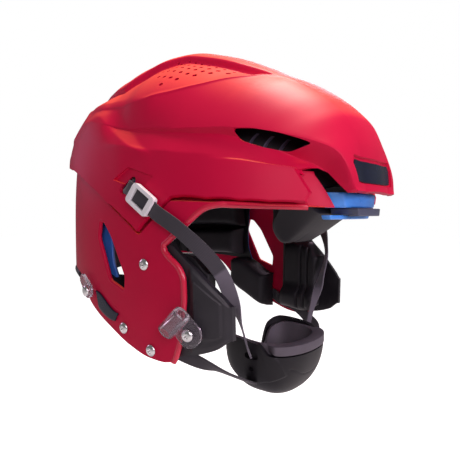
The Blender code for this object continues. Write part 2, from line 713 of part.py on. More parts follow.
def jaw_pad_place(u, v, depth):
    """Its lower end stands off the shell, and the lower strap passes behind it."""
    x = between(*JAW_PAD_REACH, u)
    z = between(JAW_PAD_BOTTOM(x), JAW_PAD_TOP(x), v)
    return LOWER.grown(-depth - JAW_PAD_STEP * smooth(-z, *JAW_PAD_TURN)).side_point(x, z)


def both_sides(place):
    """A patch over the middle plane: v from -1 on the right to 1 on the left."""
    def across(u, v, depth):
        point = place(u, 2 * abs(v) - 1, depth)
        return point if v <= 0 else mirrored(point)
    return across


FRONT_PAD_BACK = 19.0       # clear of the front stack
FRONT_PAD_THICK = 38.0
FRONT_PAD_HALF = 27.0       # degrees of azimuth to either side
FRONT_PAD_LOW = (15.0, -16.0)       # lower edge in front, hidden by the stack, and at the forehead


def front_pad_place(u, v, depth):
    """Brow pad: it lies behind the front stack, and its lower face falls away towards the forehead."""
    front_low, back_low = FRONT_PAD_LOW
    low = front_low + (back_low - front_low) * depth / FRONT_PAD_THICK + 16.0 * smooth(abs(u), 0.5, 1.0)
    azimuth = u * FRONT_PAD_HALF
    return LOWER.grown(-depth - FRONT_PAD_BACK).band_point(azimuth, between(low, 31.0, v))


def build_jaw_guards():
    """Hard black guards along the jaw, screwed inside the shell and proud in front of its edge."""
    behind_shell = LOWER.grown(-WALL - GAP)
    for side, place in SIDES:
        outer, inner = [], []
        for x in (4.0, 16.0, 28.0, 40.0, 48.0, 51.0, 60.0, 69.0, 73.0, 77.0):
            exposed = smooth(x, 48.0, 51.0)
            outer_column, inner_column = [], []
            for v in np.linspace(-1, 1, 7):
                z = between(JAW_BOTTOM(x), JAW_TOP(x), v)
                edge = smooth(1 - abs(v), 0.0, 0.4) * (1 - smooth(x, 72.0, 77.0))
                proud = exposed * edge * GUARD_PROUD
                outer_column.append(place(behind_shell.grown(proud - 0.5).side_point(x, z)))
                inner_column.append(place(behind_shell.grown(-GUARD_BACK).side_point(x, z)))
            outer.append(outer_column)
            inner.append(inner_column)
        guard = slab_object(f"jaw_guard_{side}", outer, inner, "hard_black")
        on, normal = clip_seat()
        boss = turned(f"clip_boss_{side}", place(on), place(normal), [(7.5, -6.0), (7.5, -0.2)], sides=20)
        boolean(guard, as_cutter(boss), 'UNION')
        hole = hole_along(f"clip_screw_hole_{side}", place(on), place(normal), SCREW_HOLE / 2, 12, 12)
        boolean(guard, hole)


def clip_seat():
    on = LOWER.side_point(*CLIP_SCREW)
    return on, LOWER.normal(on)


def build_mask_clips():
    """Clear P-clips: a tube for a mask bar and a tab held by one screw."""
    for side, place in SIDES:
        on, normal = clip_seat()
        level, rise, normal = axes_about(normal)
        forward = -level if level.x < 0 else level
        tilt = math.radians(CLIP_TILT)
        tube_axis = math.cos(tilt) * forward + math.sin(tilt) * rise
        tab_axis = math.sin(tilt) * forward - math.cos(tilt) * rise
        outline = []
        for i in range(13):
            angle = math.radians(250 - i * 320 / 12)
            along, out = TUBE_OUTER * math.cos(angle), TUBE_OUTER * math.sin(angle)
            outline.append((along - CLIP_REACH, out + TUBE_HEIGHT))
        outline = [(9.0, 4.4), *reversed(outline), (9.0, 0.4)]
        half = TUBE_LENGTH / 2
        rings = []
        for along in (-half, half):
            rings.append([place(on + tab_axis * a + normal * h + tube_axis * along) for a, h in outline])
        clip = tube_object(f"mask_clip_{side}", rings, "clear_plastic", origin=place(on))
        centre = on - tab_axis * CLIP_REACH + normal * TUBE_HEIGHT
        bore = turned(f"clip_bore_{side}", place(centre - tube_axis * 20), place(tube_axis),
                      [(TUBE_INNER, 0), (TUBE_INNER, 40)], sides=14)
        boolean(clip, as_cutter(bore))
        boolean(clip, hole_along(f"tab_hole_{side}", place(on), place(normal), SCREW_HOLE / 2, 5, 10))
        for sign in (1, -1):
            cut = ((9.5, 10.2), (9.5, 2.5), (1.5, 10.2))
            corner = [on + tab_axis * along + tube_axis * sign * across for along, across in cut]
            rings = [[place(p + normal * h) for p in corner] for h in (-3.0, 9.0)]
            boolean(clip, as_cutter(tube_object(f"tab_corner_{side}_{'fore' if sign > 0 else 'aft'}", rings)))
        screw(f"clip_screw_{side}", place(on), place(normal), 4.4 + 0.3, 5.0)


def screw(name, place, normal, seat, reach):
    """A domed screw: its head rests at the seat height and its shank reaches below the surface."""
    head, shank = SCREW_HEAD / 2, SCREW_SHANK / 2
    profile = [(shank, -reach), (shank, seat), (head, seat), (head, seat + 0.6), (head * 0.8, seat + 1.7),
               (head * 0.4, seat + 2.2)]
    return turned(name, place, normal, profile, "chrome", sides=12)


def build_shell_screws():
    for side, place in SIDES:
        for i, (x, z) in enumerate(SHELL_SCREWS, 1):
            on = LOWER.side_point(x, z)
            screw(f"shell_screw_{side}_{i}", place(on), place(LOWER.normal(on)), 0.35, WALL - 0.4)


def build_rear_hardware():
    """Dark plates, and clear strap clips on chrome posts, at the back of the lower edge."""
    low = Curve([(-51, -49.5), (-46, -62.5), (-24.5, -69.5), (-20, -64)])
    high = Curve([(-51, -48), (-20, -62.6)])
    for side, place in SIDES:
        outer, inner = [], []
        for x in np.linspace(-51, -20, 6):
            heights = [between(low(x), high(x), v) for v in (-1, 0, 1)]
            for grid, lift in ((outer, 1.3), (inner, 0.3)):
                grid.append([place(LOWER.grown(lift).side_point(x, z)) for z in heights])
        slab_object(f"side_plate_{side}", outer, inner, "plate_dark")
        on = LOWER.side_point(*POST_PLACE)
        normal = LOWER.normal(on)
        turned(f"strap_post_{side}", place(on), place(normal),
               [(3.0, 0.35), (3.0, 4.9), (4.6, 4.9), (4.6, 6.2), (3.4, 7.2)], "chrome", sides=14)
        level, rise, normal = axes_about(normal)
        back = level if level.x < 0 else -level
        outline = []
        for centre, radius, start in ((13.0, 4.5, -90), (0.0, 6.5, 90)):
            for i in range(8):
                angle = math.radians(start + i * 180 / 7)
                outline.append((centre + radius * math.cos(angle), radius * math.sin(angle)))
        along = (0.75 * back + 0.66 * rise).normalized()
        aside = normal.cross(along)
        rings = [[place(on + along * a + aside * b + normal * h) for a, b in outline] for h in (1.6, 4.4)]
        clip = tube_object(f"strap_clip_{side}", rings, "clear_plastic", origin=place(on))
        boolean(clip, hole_along(f"post_hole_{side}", place(on), place(normal), 3.4, 5, 10))
    columns = []
    for azimuth in [a for a in LOWER_AZIMUTHS if a > 130.0]:
        bottom = BOTTOM(azimuth)
        lips = ((0.0, GAP), (0.8, 2.5), (0.8, 6.0))
        columns.append([LOWER.grown(out).band_point(azimuth, bottom - drop) for out, drop in lips])
    for point in columns[-1]:
        point.y = 0.0
    mirror_and_wall(sheet_object("nape_bumper", columns, "hard_black"), WALL)


def build_front_stack():
    """Blue bumper block, mask bracket tongue and blue shelf between the ends of the brow arms."""
    (low_half, low_z), (high_half, high_z) = ARM_END

    def arm_half(z):
        return low_half + (high_half - low_half) * (z - low_z) / (high_z - low_z) - 2.6

    def layer(name, heights, front, halves, bow, finish, steps=(), taper=1.0):
        """A slab with a bowed front, narrower by the taper; steps are (place, height) pairs along its lower face."""
        grids = []
        for z, half, lower in zip(heights, halves, (True, False)):
            columns = []
            for i in range(9):
                t = i / 4 - 1
                path = [(STACK_BACK, z), *((x, low if lower else z) for x, low in steps)]
                path.append((front - bow * t * t, path[-1][1]))
                sides = [half] * (len(path) - 1) + [half * taper]
                columns.append([Vector((x, t * side, height)) for side, (x, height) in zip(sides, path)])
            grids.append(columns)
        return slab_object(name, *grids, finish)

    lip_place, lip_low = TONGUE_LIP
    layer("front_bumper", BLOCK_Z, BLOCK_FRONT, [arm_half(z) for z in BLOCK_Z], 4.0, "cap_blue",
          taper=0.8)
    layer("mask_bracket", TONGUE_Z, TONGUE_FRONT, (21.0, 22.5), 3.0, "plate_dark",
          [(lip_place, TONGUE_Z[0]), (lip_place + 0.6, lip_low)])
    layer("front_shelf", SHELF_Z, SHELF_FRONT, (36.0, 38.0), 4.5, "cap_blue")


def build_badge():
    badge_body("badge_plate", -1.3, -0.3, 0.0, "plate_dark")


def build_vent_grilles():
    """Black inserts behind the side vents: a plate with four curved ribs."""
    for side, place in SIDES:
        def grid(depth, xs, low, high, steps):
            form = UPPER.grown(-depth)
            return [[place(form.side_point(x, between(low(x), high(x), v))) for v in np.linspace(-1, 1, steps)]
                    for x in xs]
        low = Curve([(66, 66), (84, 58.5), (108, 52), (117, 52)])
        high = Curve([(66, 78), (93, 73), (108, 68), (117, 62)])
        xs = np.linspace(66, 115, 7)
        grille = slab_object(f"vent_grille_{side}", grid(12.8, xs, low, high, 4), grid(14.4, xs, low, high, 4),
                             "hard_black")
        for i, x in enumerate((83.0, 91.0, 99.0, 107.0)):
            rib_low = Curve([(66, 68), (84, 61), (108, 55)])
            rib_high = Curve([(66, 76), (93, 71), (108, 66)])
            faces = [grid(depth, (x - 0.7, x + 0.7), rib_low, rib_high, 4) for depth in (10.0, 13.4)]
            blade = slab_object(f"vent_rib_{side}_{i + 1}", *faces, None)
            boolean(grille, as_cutter(blade), 'UNION')


def build_standoffs():
    """Flexible posts that carry the outer shell on the inner cap."""
    for side, place in SIDES:
        for i, (angle, spread) in enumerate(((72.0, 33.0), (108.0, 36.0), (128.0, 20.0)), 1):
            on = fan_point(UPPER.grown(-CAP_DEPTH), angle, spread)
            top = fan_point(UPPER, angle, spread, upper_lift(angle, spread))
            length = (top - on).dot(UPPER.normal(top)) - WALL - 1.7
            normal = UPPER.normal(on)
            profile = [(6.0, 0.6), (6.0, 1.8), (4.2, 3.2), (4.2, length - 1.5), (5.4, length)]
            turned(f"standoff_{side}_{i}", place(on), place(normal), profile, "cap_blue", sides=12)


def build_straps():
    per_span = 4
    upper_route = smooth_route(strap_frame_points(), per_span)
    at_shell_edge, at_cup = (6.4 * per_span, 7.6 * per_span), (8.6 * per_span, 10.2 * per_span)
    below_edge, edge_on = Vector((0.0, -0.88, -0.47)), Vector((0.75, 0.62, 0.2))

    def upper_facing(k):
        free = UPPER.normal(upper_route[k]).lerp(below_edge, smooth(k, *at_shell_edge))
        return free.lerp(-edge_on, smooth(k, *at_cup))

    def upper_width(k):
        return STRAP_WIDTH + (STRAP_GATHERED - STRAP_WIDTH) * smooth(k, *at_cup)

    inside = LOWER.grown(-WALL - GAP - STRAP_THICK / 2 - 0.1)
    deeper = LOWER.grown(-WALL - 5.4 - STRAP_THICK / 2)
    anchor = [inside.side_point(-22, -69.5), inside.side_point(-14, -73.5), inside.side_point(-8, -76.0),
              deeper.side_point(1.5, -79.0), deeper.side_point(22, -84.5), Vector((40, -89, -92.5)),
              Vector((54, -79, -99.5)), Vector((55, -58, -110.5)), Vector((57.0, -36.8, -121.5))]
    lower_route = smooth_route(anchor, per_span)
    under_cup = Vector((0.0, -0.45, -0.89))

    def lower_width(k):
        return STRAP_WIDTH

    def lower_facing(k):
        return LOWER.normal(lower_route[k]).lerp(under_cup, smooth(k, 4.6 * per_span, 6.8 * per_span))

    for side, place in SIDES:
        strap_object(f"upper_strap_{side}", upper_route, upper_facing, upper_width, place, "webbing_grey")
        strap_object(f"lower_strap_{side}", lower_route, lower_facing, lower_width, place, "webbing_grey")


def build_buckles():
    """White ladder buckles: a frame over the strap, with two bars behind it."""
    length, width, height = BUCKLE_SIZE
    middle, ahead, aside, normal = buckle_frame()
    for side, place in SIDES:
        def block(name, size, centre, finish=None, origin=(0, 0, 0)):
            (a, b, c), (i, j, k) = size, centre
            rings = []
            for end in (-1, 1):
                at = middle + ahead * (i + end * a / 2) + aside * j + normal * k
                rings.append([place(at + aside * b / 2 * s + normal * c / 2 * t)
                              for s, t in ((1, 1), (-1, 1), (-1, -1), (1, -1))])
            return tube_object(name, rings, finish, origin)
        buckle = block(f"buckle_{side}", (length, width, height), (0, 0, 1.05), "buckle_white", place(middle))
        channel_size = (length + 2, STRAP_WIDTH + 1.0, STRAP_THICK + 1.0)
        boolean(buckle, as_cutter(block(f"buckle_channel_{side}", channel_size, (0, 0, 0.1))))
        window = block(f"buckle_window_{side}", (length - 9, STRAP_WIDTH - 0.5, height * 3), (0, 0, 0))
        boolean(buckle, as_cutter(window))


# Heights round the cup, against degrees from straight ahead: low in front, high at the wings, low at the throat
CUP_RIM = Curve([(0, -97), (56, -96.5), (68, -95), (79, -87), (95, -84.5), (120, -83), (135, -88), (150, -110),
                 (180, -117)])
LINER_RIM = Curve([(0, -88.5), (60, -88), (80, -87.5), (110, -86.5), (132, -91), (150, -109), (180, -115)])


def liner_lip_low(angle):
    """Where the liner leaves the cup and its lip begins."""
    return min(CUP_RIM(angle) + 1.0, LINER_RIM(angle) - 3.0)


def lip_share(angle):
    """1 where the liner's lip lies over the cup's rim, 0 where the wings stand outside it."""
    return 1.0 - smooth(angle, 62.0, 72.0)


def lip_under(angle):
    low, share = liner_lip_low(angle), lip_share(angle)
    return low + 0.3 * share + 0.35 * (LINER_RIM(angle) - low) * (1 - share)


def bowl_point(angle, t, inset, rim):
    """On a bowl at t from its bottom to its rim; rim and inset are given for degrees from straight ahead."""
    ahead, aside = math.cos(math.radians(angle)), math.sin(math.radians(angle))
    off = abs((angle + 180) % 360 - 180)
    half = "front" if ahead > 0 else "back"
    reach, side, down = (CUP_REACH[k] - inset(off) for k in (half, "side", "down"))
    full = CUP_FULLNESS[half]
    flat = ((abs(ahead) / reach) ** full + (abs(aside) / side) ** full) ** (-1 / full)
    top = rim(off) - CUP_CENTRE[2]
    turn = t * (math.pi / 2 if top >= 0 else math.acos(min(1.0, -top / down)))
    rise = -down * math.cos(turn) + max(top, 0.0) * t ** 4
    radius = flat * math.sin(turn) ** (2 / CUP_FULLNESS["profile"])
    return Vector(CUP_CENTRE) + Vector((radius * ahead, radius * aside, rise))


def bowl_object(name, rings, finish):
    """A chin bowl: rings of (t, inset, rim) up its outside, over its rim and down its inside."""
    count = 32
    _, outer_inset, _ = rings[0]
    _, inner_inset, _ = rings[-1]
    lowest = Vector(CUP_CENTRE) - Vector((0.0, 0.0, CUP_REACH["down"]))
    points = [lowest + Vector((0.0, 0.0, outer_inset(0.0)))]
    for t, inset, rim in rings:
        points += [bowl_point(360.0 * i / count, t, inset, rim) for i in range(count)]
    points.append(lowest + Vector((0.0, 0.0, inner_inset(0.0))))
    last, end = 1 + count * (len(rings) - 1), len(points) - 1
    faces = []
    for i in range(count):
        j = (i + 1) % count
        faces += [(0, 1 + j, 1 + i), (end, last + i, last + j)]
        for a in range(1, last, count):
            faces.append((a + i, a + j, a + count + j, a + count + i))
    return mesh_object(name, points, faces, finish, origin=CUP_HINGE)


def build_chin_cup():
    up = [k / 6 for k in range(1, 7)]

    def outside(angle):
        return 0.0

    def inside(angle):
        return CUP_WALL

    def liner_back(angle):
        return CUP_WALL + LINER_GAP

    def liner_lip(angle):
        return liner_back(angle) - (liner_back(angle) + LIP_PROUD) * lip_share(angle)

    def liner_face(angle):
        return liner_back(angle) + LINER_WALL

    cup_rings = [(t, outside, CUP_RIM) for t in up] + [(t, inside, CUP_RIM) for t in reversed(up)]
    cup = bowl_object("chin_cup", cup_rings, "hard_black")
    liner_rings = [(t, liner_back, liner_lip_low) for t in up]
    liner_rings += [(1.0, liner_lip, lip_under), (1.0, liner_lip, LINER_RIM)]
    liner_rings += [(t, liner_face, LINER_RIM) for t in reversed(up)]
    bowl_object("chin_cup_liner", liner_rings, "liner_grey")
    for side, place in SIDES:
        normal = place(Vector((0.0, -1.0, 0.0)))
        slot = slot_cutter(f"cup_slot_{side}", place(Vector(CUP_SLOT)), normal, Vector((1.0, 0.0, 0.0)),
                           *CUP_SLOT_SIZE, 2.6)
        boolean(cup, slot)
        boolean(cup, hole_along(f"cup_hole_{side}", place(Vector(CUP_HOLE)), normal, 2.2, 3.0, 6.0, 10))


def build():
    for obj in list(bpy.data.objects):
        bpy.data.objects.remove(obj)
    build_upper_shell()
    build_lower_shell()
    build_inner_cap()
    build_standoffs()
    build_pads()
    build_jaw_guards()
    build_shell_screws()
    build_mask_clips()
    build_rear_hardware()
    build_front_stack()
    build_badge()
    build_vent_grilles()
    build_straps()
    build_buckles()
    build_chin_cup()


build()
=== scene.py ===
"""Looks of a contact-sport helmet: painted shells, pads, webbing, chin cup and fittings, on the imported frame.

Sizes are millimetres, as in the part's source, and become metres in the meshes. -Y is the wearer's right.
"""
import math

import bpy
import numpy as np
from mathutils import Matrix, Vector


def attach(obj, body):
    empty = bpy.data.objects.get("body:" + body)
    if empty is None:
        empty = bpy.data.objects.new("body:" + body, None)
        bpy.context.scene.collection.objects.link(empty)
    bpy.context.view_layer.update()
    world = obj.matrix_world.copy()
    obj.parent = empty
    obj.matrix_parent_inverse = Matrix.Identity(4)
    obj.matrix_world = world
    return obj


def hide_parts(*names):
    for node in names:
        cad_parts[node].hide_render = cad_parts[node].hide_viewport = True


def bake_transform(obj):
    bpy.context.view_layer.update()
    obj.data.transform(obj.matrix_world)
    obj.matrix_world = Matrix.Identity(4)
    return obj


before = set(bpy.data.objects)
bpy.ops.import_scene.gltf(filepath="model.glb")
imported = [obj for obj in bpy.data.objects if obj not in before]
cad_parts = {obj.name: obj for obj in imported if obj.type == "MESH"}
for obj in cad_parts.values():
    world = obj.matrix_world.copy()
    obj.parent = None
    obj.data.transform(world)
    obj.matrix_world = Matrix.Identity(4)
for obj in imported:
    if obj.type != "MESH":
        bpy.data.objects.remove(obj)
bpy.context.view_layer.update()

MM = 0.001

# Shell forms and driving sizes, as in the part's source, but for the ridge, which stands higher here
UPPER_FORM = dict(centre=-40.0, front=184.0, back=118.0, side=113.5, up=161.0, down=340.0,
                  plan=2.4, profile=2.15)
LOWER_FORM = dict(centre=-5.0, front=140.0, back=149.0, side=109.5, up=230.0, down=340.0,
                  plan=2.35, profile=2.35)
WALL = 3.2
GAP = 0.4
HUB = np.array((0.0, 0.0, -40.0))
FLANGE = 12.0
FLANGE_DEPTH = 5.5
RIM_STEP = (2.2, 3.4)
CAP_DEPTH = 15.0
CAP_WALL = 2.5
PAD_DEPTH = 19.2
CHANNEL_DROP = 3.5
RIDGE_LIFT = 4.0
REAR_LIFT = 3.0
CHANNEL_FRONT = 67.0
CHANNEL_BACK = 118.0
FAN_FRONT = 26.0
FAN_BACK = 146.5

# Front stack
STACK_BACK = 117.5
BLOCK_FRONT = 136.0
TONGUE_FRONT = 142.0
BLOCK_Z = (19.5, 30.6)
TONGUE_Z = (14.6, 19.1)
TONGUE_LIP = (130.0, 13.4)
SHELF_FRONT = 129.0
SHELF_Z = (11.0, 14.2)

# Webbing, buckles and fasteners
STRAP_WIDTH = 11.0
STRAP_GATHERED = 4.6
STRAP_THICK = 1.5
STRAP_RISE = 2.9
BUCKLE_SIZE = (24.0, 16.0, 4.6)
TEMPLE_SLOT = (-6.5, 36.8)
TEMPLE_SLOT_SIZE = (17.0, 6.2)
TEMPLE_SLOT_WAY = np.array((0.73, 0.0, 0.68))
SCREW_HEAD = 9.0
SHELL_SCREWS = [(10.4, -22.3), (-14.0, -73.5), (15.2, -86.0)]
CLIP_SCREW = (50.5, -69.0)
CLIP_TILT = 45.0
CLIP_REACH = 12.5
TUBE_OUTER = 6.5
TUBE_INNER = 3.8
TUBE_LENGTH = 19.0
TUBE_HEIGHT = TUBE_OUTER + 0.6
POST_PLACE = (-60.0, -49.0)

# Chin cup
CUP_CENTRE = np.array((60.0, 0.0, -93.0))
CUP_REACH = dict(front=34.0, back=34.0, side=44.5, down=43.5)
CUP_FULLNESS = dict(front=2.4, back=4.0, profile=2.4)
CUP_WALL = 3.5
LINER_WALL = 4.5
LINER_GAP = 1.5
LIP_PROUD = 0.4
CUP_SLOT = (62.0, -44.0, -96.8)
CUP_SLOT_SIZE = (12.5, 5.4)
CUP_HOLE = (60.5, -43.0, -108.0)

# Camera: the photograph's view, 36 mm lens on a 36 mm sensor
VIEW_AZIMUTH = 38.0
VIEW_ELEVATION = 2.0
VIEW_DISTANCE = 0.432
VIEW_SHIFT = 0.013
FLOOR_Z = -0.30
FLOOR_GLOW = 0.91
FLOOR_IN_GLOSS = 0.20
WORLD_FILL = 0.16


class Form:
    """A rounded helmet form: a superellipsoid whose halves have unlike reach. It takes arrays of points."""

    def __init__(self, centre, front, back, side, up, down, plan, profile):
        self.centre = centre
        self.front, self.back, self.side = front, back, side
        self.up, self.down = up, down
        self.plan, self.profile = plan, profile

    def grown(self, by):
        return Form(self.centre, self.front + by, self.back + by, self.side + by,
                    self.up + by, self.down + by, self.plan, self.profile)

    def along(self, x):
        return np.abs(x - self.centre) / np.where(x > self.centre, self.front, self.back)

    def height(self, z):
        return np.abs(z) / np.where(z > 0, self.up, self.down)

    def level(self, point):
        """Below 1 inside the form."""
        ring = self.along(point[..., 0]) ** self.plan + (np.abs(point[..., 1]) / self.side) ** self.plan
        return ring ** (self.profile / self.plan) + self.height(point[..., 2]) ** self.profile

    def ring_at(self, z):
        return np.maximum(1.0 - self.height(z) ** self.profile, 0.0) ** (self.plan / self.profile)

    def side_point(self, x, z):
        """The right-hand surface point seen at (x, z) from the side."""
        x, z = np.broadcast_arrays(np.asarray(x, float), np.asarray(z, float))
        rest = np.maximum(self.ring_at(z) - self.along(x) ** self.plan, 0.0)
        return np.stack([x, -self.side * rest ** (1.0 / self.plan), z], -1)

    def band_point(self, azimuth, z):
        """The surface point at a height, in a direction seen from above; +90 is the wearer's right."""
        azimuth, z = np.broadcast_arrays(np.radians(azimuth), np.asarray(z, float))
        ahead, aside = np.cos(azimuth), np.sin(azimuth)
        reach = np.where(ahead > 0, self.front, self.back)
        spread = (np.abs(ahead) / reach) ** self.plan + (np.abs(aside) / self.side) ** self.plan
        radius = (self.ring_at(z) / spread) ** (1.0 / self.plan)
        return np.stack([self.centre + radius * ahead, -radius * aside, z], -1)

    def azimuth(self, point):
        return np.degrees(np.arctan2(-point[..., 1], point[..., 0] - self.centre))

    def reach(self, origin, direction):
        near = np.zeros(direction.shape[:-1])
        far = near + 400.0
        for _ in range(34):
            middle = (near + far) / 2
            inside = self.level(origin + middle[..., None] * direction) < 1.0
            near, far = np.where(inside, middle, near), np.where(inside, far, middle)
        return near

    def normal(self, point):
        slope = np.stack([self.level(point + d) - self.level(point - d) for d in 0.5 * np.eye(3)], -1)
        return unit(slope)


def unit(vector):
    vector = np.asarray(vector, float)
    return vector / np.linalg.norm(vector, axis=-1, keepdims=True)


UPPER = Form(**UPPER_FORM)
LOWER = Form(**LOWER_FORM)


def ease(value, low, high):
    t = np.clip((np.asarray(value, float) - low) / (high - low), 0.0, 1.0)
    return t * t * (3.0 - 2.0 * t)


def between(low, high, t):
    """From low to high as t goes from -1 to 1."""
    return low + (high - low) * (t + 1) / 2


class Curve:
    """A value along a line: eased through its keys, or straight between them where corners are wanted."""

    def __init__(self, keys, eased=True):
        keys = np.array(sorted(keys), float)
        self.at, self.values, self.eased = keys[:, 0], keys[:, 1], eased
        rise = np.diff(self.values) / np.diff(self.at)
        same_way = rise[:-1] * rise[1:] > 0
        self.slopes = np.zeros(len(keys))
        total = np.where(same_way, rise[:-1] + rise[1:], 1.0)
        self.slopes[1:-1] = np.where(same_way, 2.0 * rise[:-1] * rise[1:] / total, 0.0)

    def __call__(self, place):
        if not self.eased:
            return np.interp(place, self.at, self.values)
        place = np.clip(place, self.at[0], self.at[-1])
        i = np.clip(np.searchsorted(self.at, place) - 1, 0, len(self.at) - 2)
        span = self.at[i + 1] - self.at[i]
        t = (place - self.at[i]) / span
        eased = self.values[i] + (self.values[i + 1] - self.values[i]) * t * t * (3 - 2 * t)
        return eased + span * (self.slopes[i] * t * (1 - t) ** 2 - self.slopes[i + 1] * t * t * (1 - t))


def fan_angles(point):
    """Fan angle round the side-to-side axis, and spread away from the middle plane, both in degrees."""
    x, y, z = np.moveaxis(point - HUB, -1, 0)
    return np.degrees(np.arctan2(z, x)), np.degrees(np.arctan2(np.abs(y), np.hypot(x, z)))


def fan_point(form, angle, spread, lift=0.0):
    a, s = np.broadcast_arrays(np.radians(angle), np.radians(spread))
    direction = np.stack([np.cos(s) * np.cos(a), -np.sin(s), np.cos(s) * np.sin(a)], -1)
    return HUB + direction * (form.reach(HUB, direction) + lift)[..., None]


def side_line(form, keys, eased=True):
    return Curve([fan_angles(form.side_point(x, z)) for x, z in keys], eased)


# Feature lines of the upper shell: spread against fan angle, or points seen from the side (x, z)
BAND_EDGE = Curve([(26, 4.5), (50, 5.6), (60, 8.0), (66, 9.8), (76, 12.3), (90.8, 13.6), (100, 16.5),
                   (109.7, 21.0), (115.7, 24.5), (125, 18.0), (146, 11.0)])
RIDGE = Curve([(26, 7.5), (50, 9.0), (60, 11.5), (65.3, 15.0), (67.5, 17.7), (71.9, 21.3), (77.5, 25.5),
               (86.4, 29.8), (95.8, 32.2), (106.8, 31.3), (114.8, 30.0), (125, 24.0), (146, 17.0)])
HOOD = Curve([(26.2, 13.8), (28.3, 14.4), (31.6, 15.3), (34.7, 16.4), (37.2, 18.3), (39.6, 20.5),
              (43.9, 23.9), (48.6, 26.8), (53.1, 29.6), (58.5, 32.4), (70.2, 36.7), (82.6, 38.5),
              (95.5, 38.3), (110, 35.8), (125, 29.6), (146, 28.7)])
WING_TOP = side_line(UPPER, [(136, 22), (113, 45), (100, 47.8), (84, 50.8), (60, 53.5), (30, 57), (0, 60),
                             (-40, 66), (-80, 70)])
BORDER_KEYS = [(140, 21), (119, 23.7), (102, 24.3), (84.5, 25.4), (61.6, 26.6), (34.7, 27.8), (25, 18.6),
               (4.6, 2.4), (-10, 12.8), (-29.5, 24.4), (-52, 38), (-77, 50), (-110, 57), (-140, 56),
               (-153, 55)]
BORDER = side_line(UPPER, BORDER_KEYS, eased=False)

CROWN_LIFT = Curve([(26, 5.0), (32, 7.0), (37.6, 10.2), (43, 11.6), (47.5, 9.6), (53, 6.2), (59, 2.0),
                    (63, -1.6), (67, -4.0), (74, -5.0), (80, -4.2), (86, -2.8), (92, -0.8), (98, -1.2),
                    (104, -3.6), (110, -4.0), (114, -2.6), (118, -2.4), (122, -2.6), (130, -1.0),
                    (146.5, 0.0)])
HOOD_LIFT = Curve([(26, 9.0), (31, 11.0), (36, 12.0), (41, 9.5), (50, 3.8), (60, 1.5), (75, -1.5),
                   (95, -3.0), (108, -2.0), (120, 0.0), (134, 1.5), (146.5, 1.5)])
UNDER_LIFT = Curve([(26, 0.0), (36, -4.0), (41, -6.0), (50, -5.0), (60, -4.0), (75, -4.6), (90, -4.6),
                    (104, -3.2), (114, -1.0), (122, 0.0)])
HOOD_WALL = Curve([(26, 1.4), (40, 1.1), (60, 0.5), (90, 0.4)])
CREASE_LIFT = Curve([(26, -2.0), (37, -3.0), (45, -2.0), (60, 0.0)])
WING_LIFT = Curve([(26, 0.0), (37, 1.2), (45, 0.6), (60, 0.0)])
RIDGE_BEAD = 0.35
BAND_RISE = Curve([(53, 0.0), (80, 2.5), (101, 2.5), (117, -0.5), (134, 1.0), (146.5, 0.0)])
RIDGE_AT_BACK = 29.8
BACK_SLANT = 0.75
REAR_HOOD = (104.0, 112.0)
REAR_WING = (88.0, 104.0)

# Steps of the fine mesh between those lines, and whether the strip is a rounded wall
UPPER_STRIPS = [(16, False), (6, True), (18, False), (3, True), (3, True), (22, False), (7, True),
                (18, False), (5, True), (20, False)]


def upper_rows(angle):
    """Spread and lift at each feature line, from the middle plane to the border, by fan angle."""
    crown = CROWN_LIFT(angle)
    border = BORDER(angle)
    band_edge, ridge, hood, wing = BAND_EDGE(angle), RIDGE(angle), HOOD(angle), WING_TOP(angle)

    def behind(spread, over):
        """0 along the channel, 1 behind its end, which slants back towards the middle plane."""
        end = CHANNEL_BACK + BACK_SLANT * (RIDGE_AT_BACK - np.minimum(spread, RIDGE_AT_BACK))
        return ease(angle, end, end + over)
    start = ease(angle, CHANNEL_FRONT - 14, CHANNEL_FRONT)
    channel = ease(angle, CHANNEL_FRONT - 1.0, CHANNEL_FRONT)
    band = BAND_RISE(angle) + crown
    floor = -CHANNEL_DROP * channel * (1 - behind(band_edge, 2.0)) + crown
    at_ridge = behind(ridge, 1.5)
    ridge_lift = (RIDGE_LIFT * start + crown) * (1 - at_ridge) + REAR_LIFT * at_ridge
    rear_hood = REAR_LIFT * ease(angle, *REAR_HOOD)
    rear_wing = 0.6 * REAR_LIFT * ease(angle, *REAR_WING)
    hood_lift = HOOD_LIFT(angle) + rear_hood
    crisp = start * (1 - ease(angle, CHANNEL_BACK - 4.0, CHANNEL_BACK))
    rows = [
        (0.0 * angle, band, 0.0),
        (band_edge - 0.6, band, 0.34),
        (band_edge + 0.9, floor, 0.36),
        (ridge - 0.5, ridge_lift - RIDGE_BEAD * crisp, 0.47),
        (ridge, ridge_lift, 0.50),
        (ridge + 0.5, ridge_lift - 1.6 * RIDGE_BEAD * crisp, 0.51),
        (hood, hood_lift, 0.68),
        (hood + HOOD_WALL(angle), UNDER_LIFT(angle) + rear_hood, 0.72),
        (wing - 1.2, CREASE_LIFT(angle) + rear_wing, 0.84),
        (wing, WING_LIFT(angle) + rear_wing, 0.88),
        (border, 0.0 * angle, 1.0),
    ]
    spreads, lifts = [], []
    for spread, lift, share in rows:
        spread = np.minimum(spread, share * border)
        if spreads:
            spread = np.maximum(spread, spreads[-1] + 0.25)
        spreads.append(spread)
        lifts.append(lift)
    return np.stack(spreads, -1), np.stack(lifts, -1)


# The rear panel's edge: fan angle against spread
FACET = Curve([(29.7, 115.5), (35.5, 110.0), (38.8, 105.9), (43.9, 97.4), (47.3, 88.4)])
FACET_LIFT = 1.8
FACET_FADE = dict(behind=14.0, ahead=8.0)
FACET_BEGINS = (28.5, 33.0)
FACET_ENDS = (45.0, 49.0)


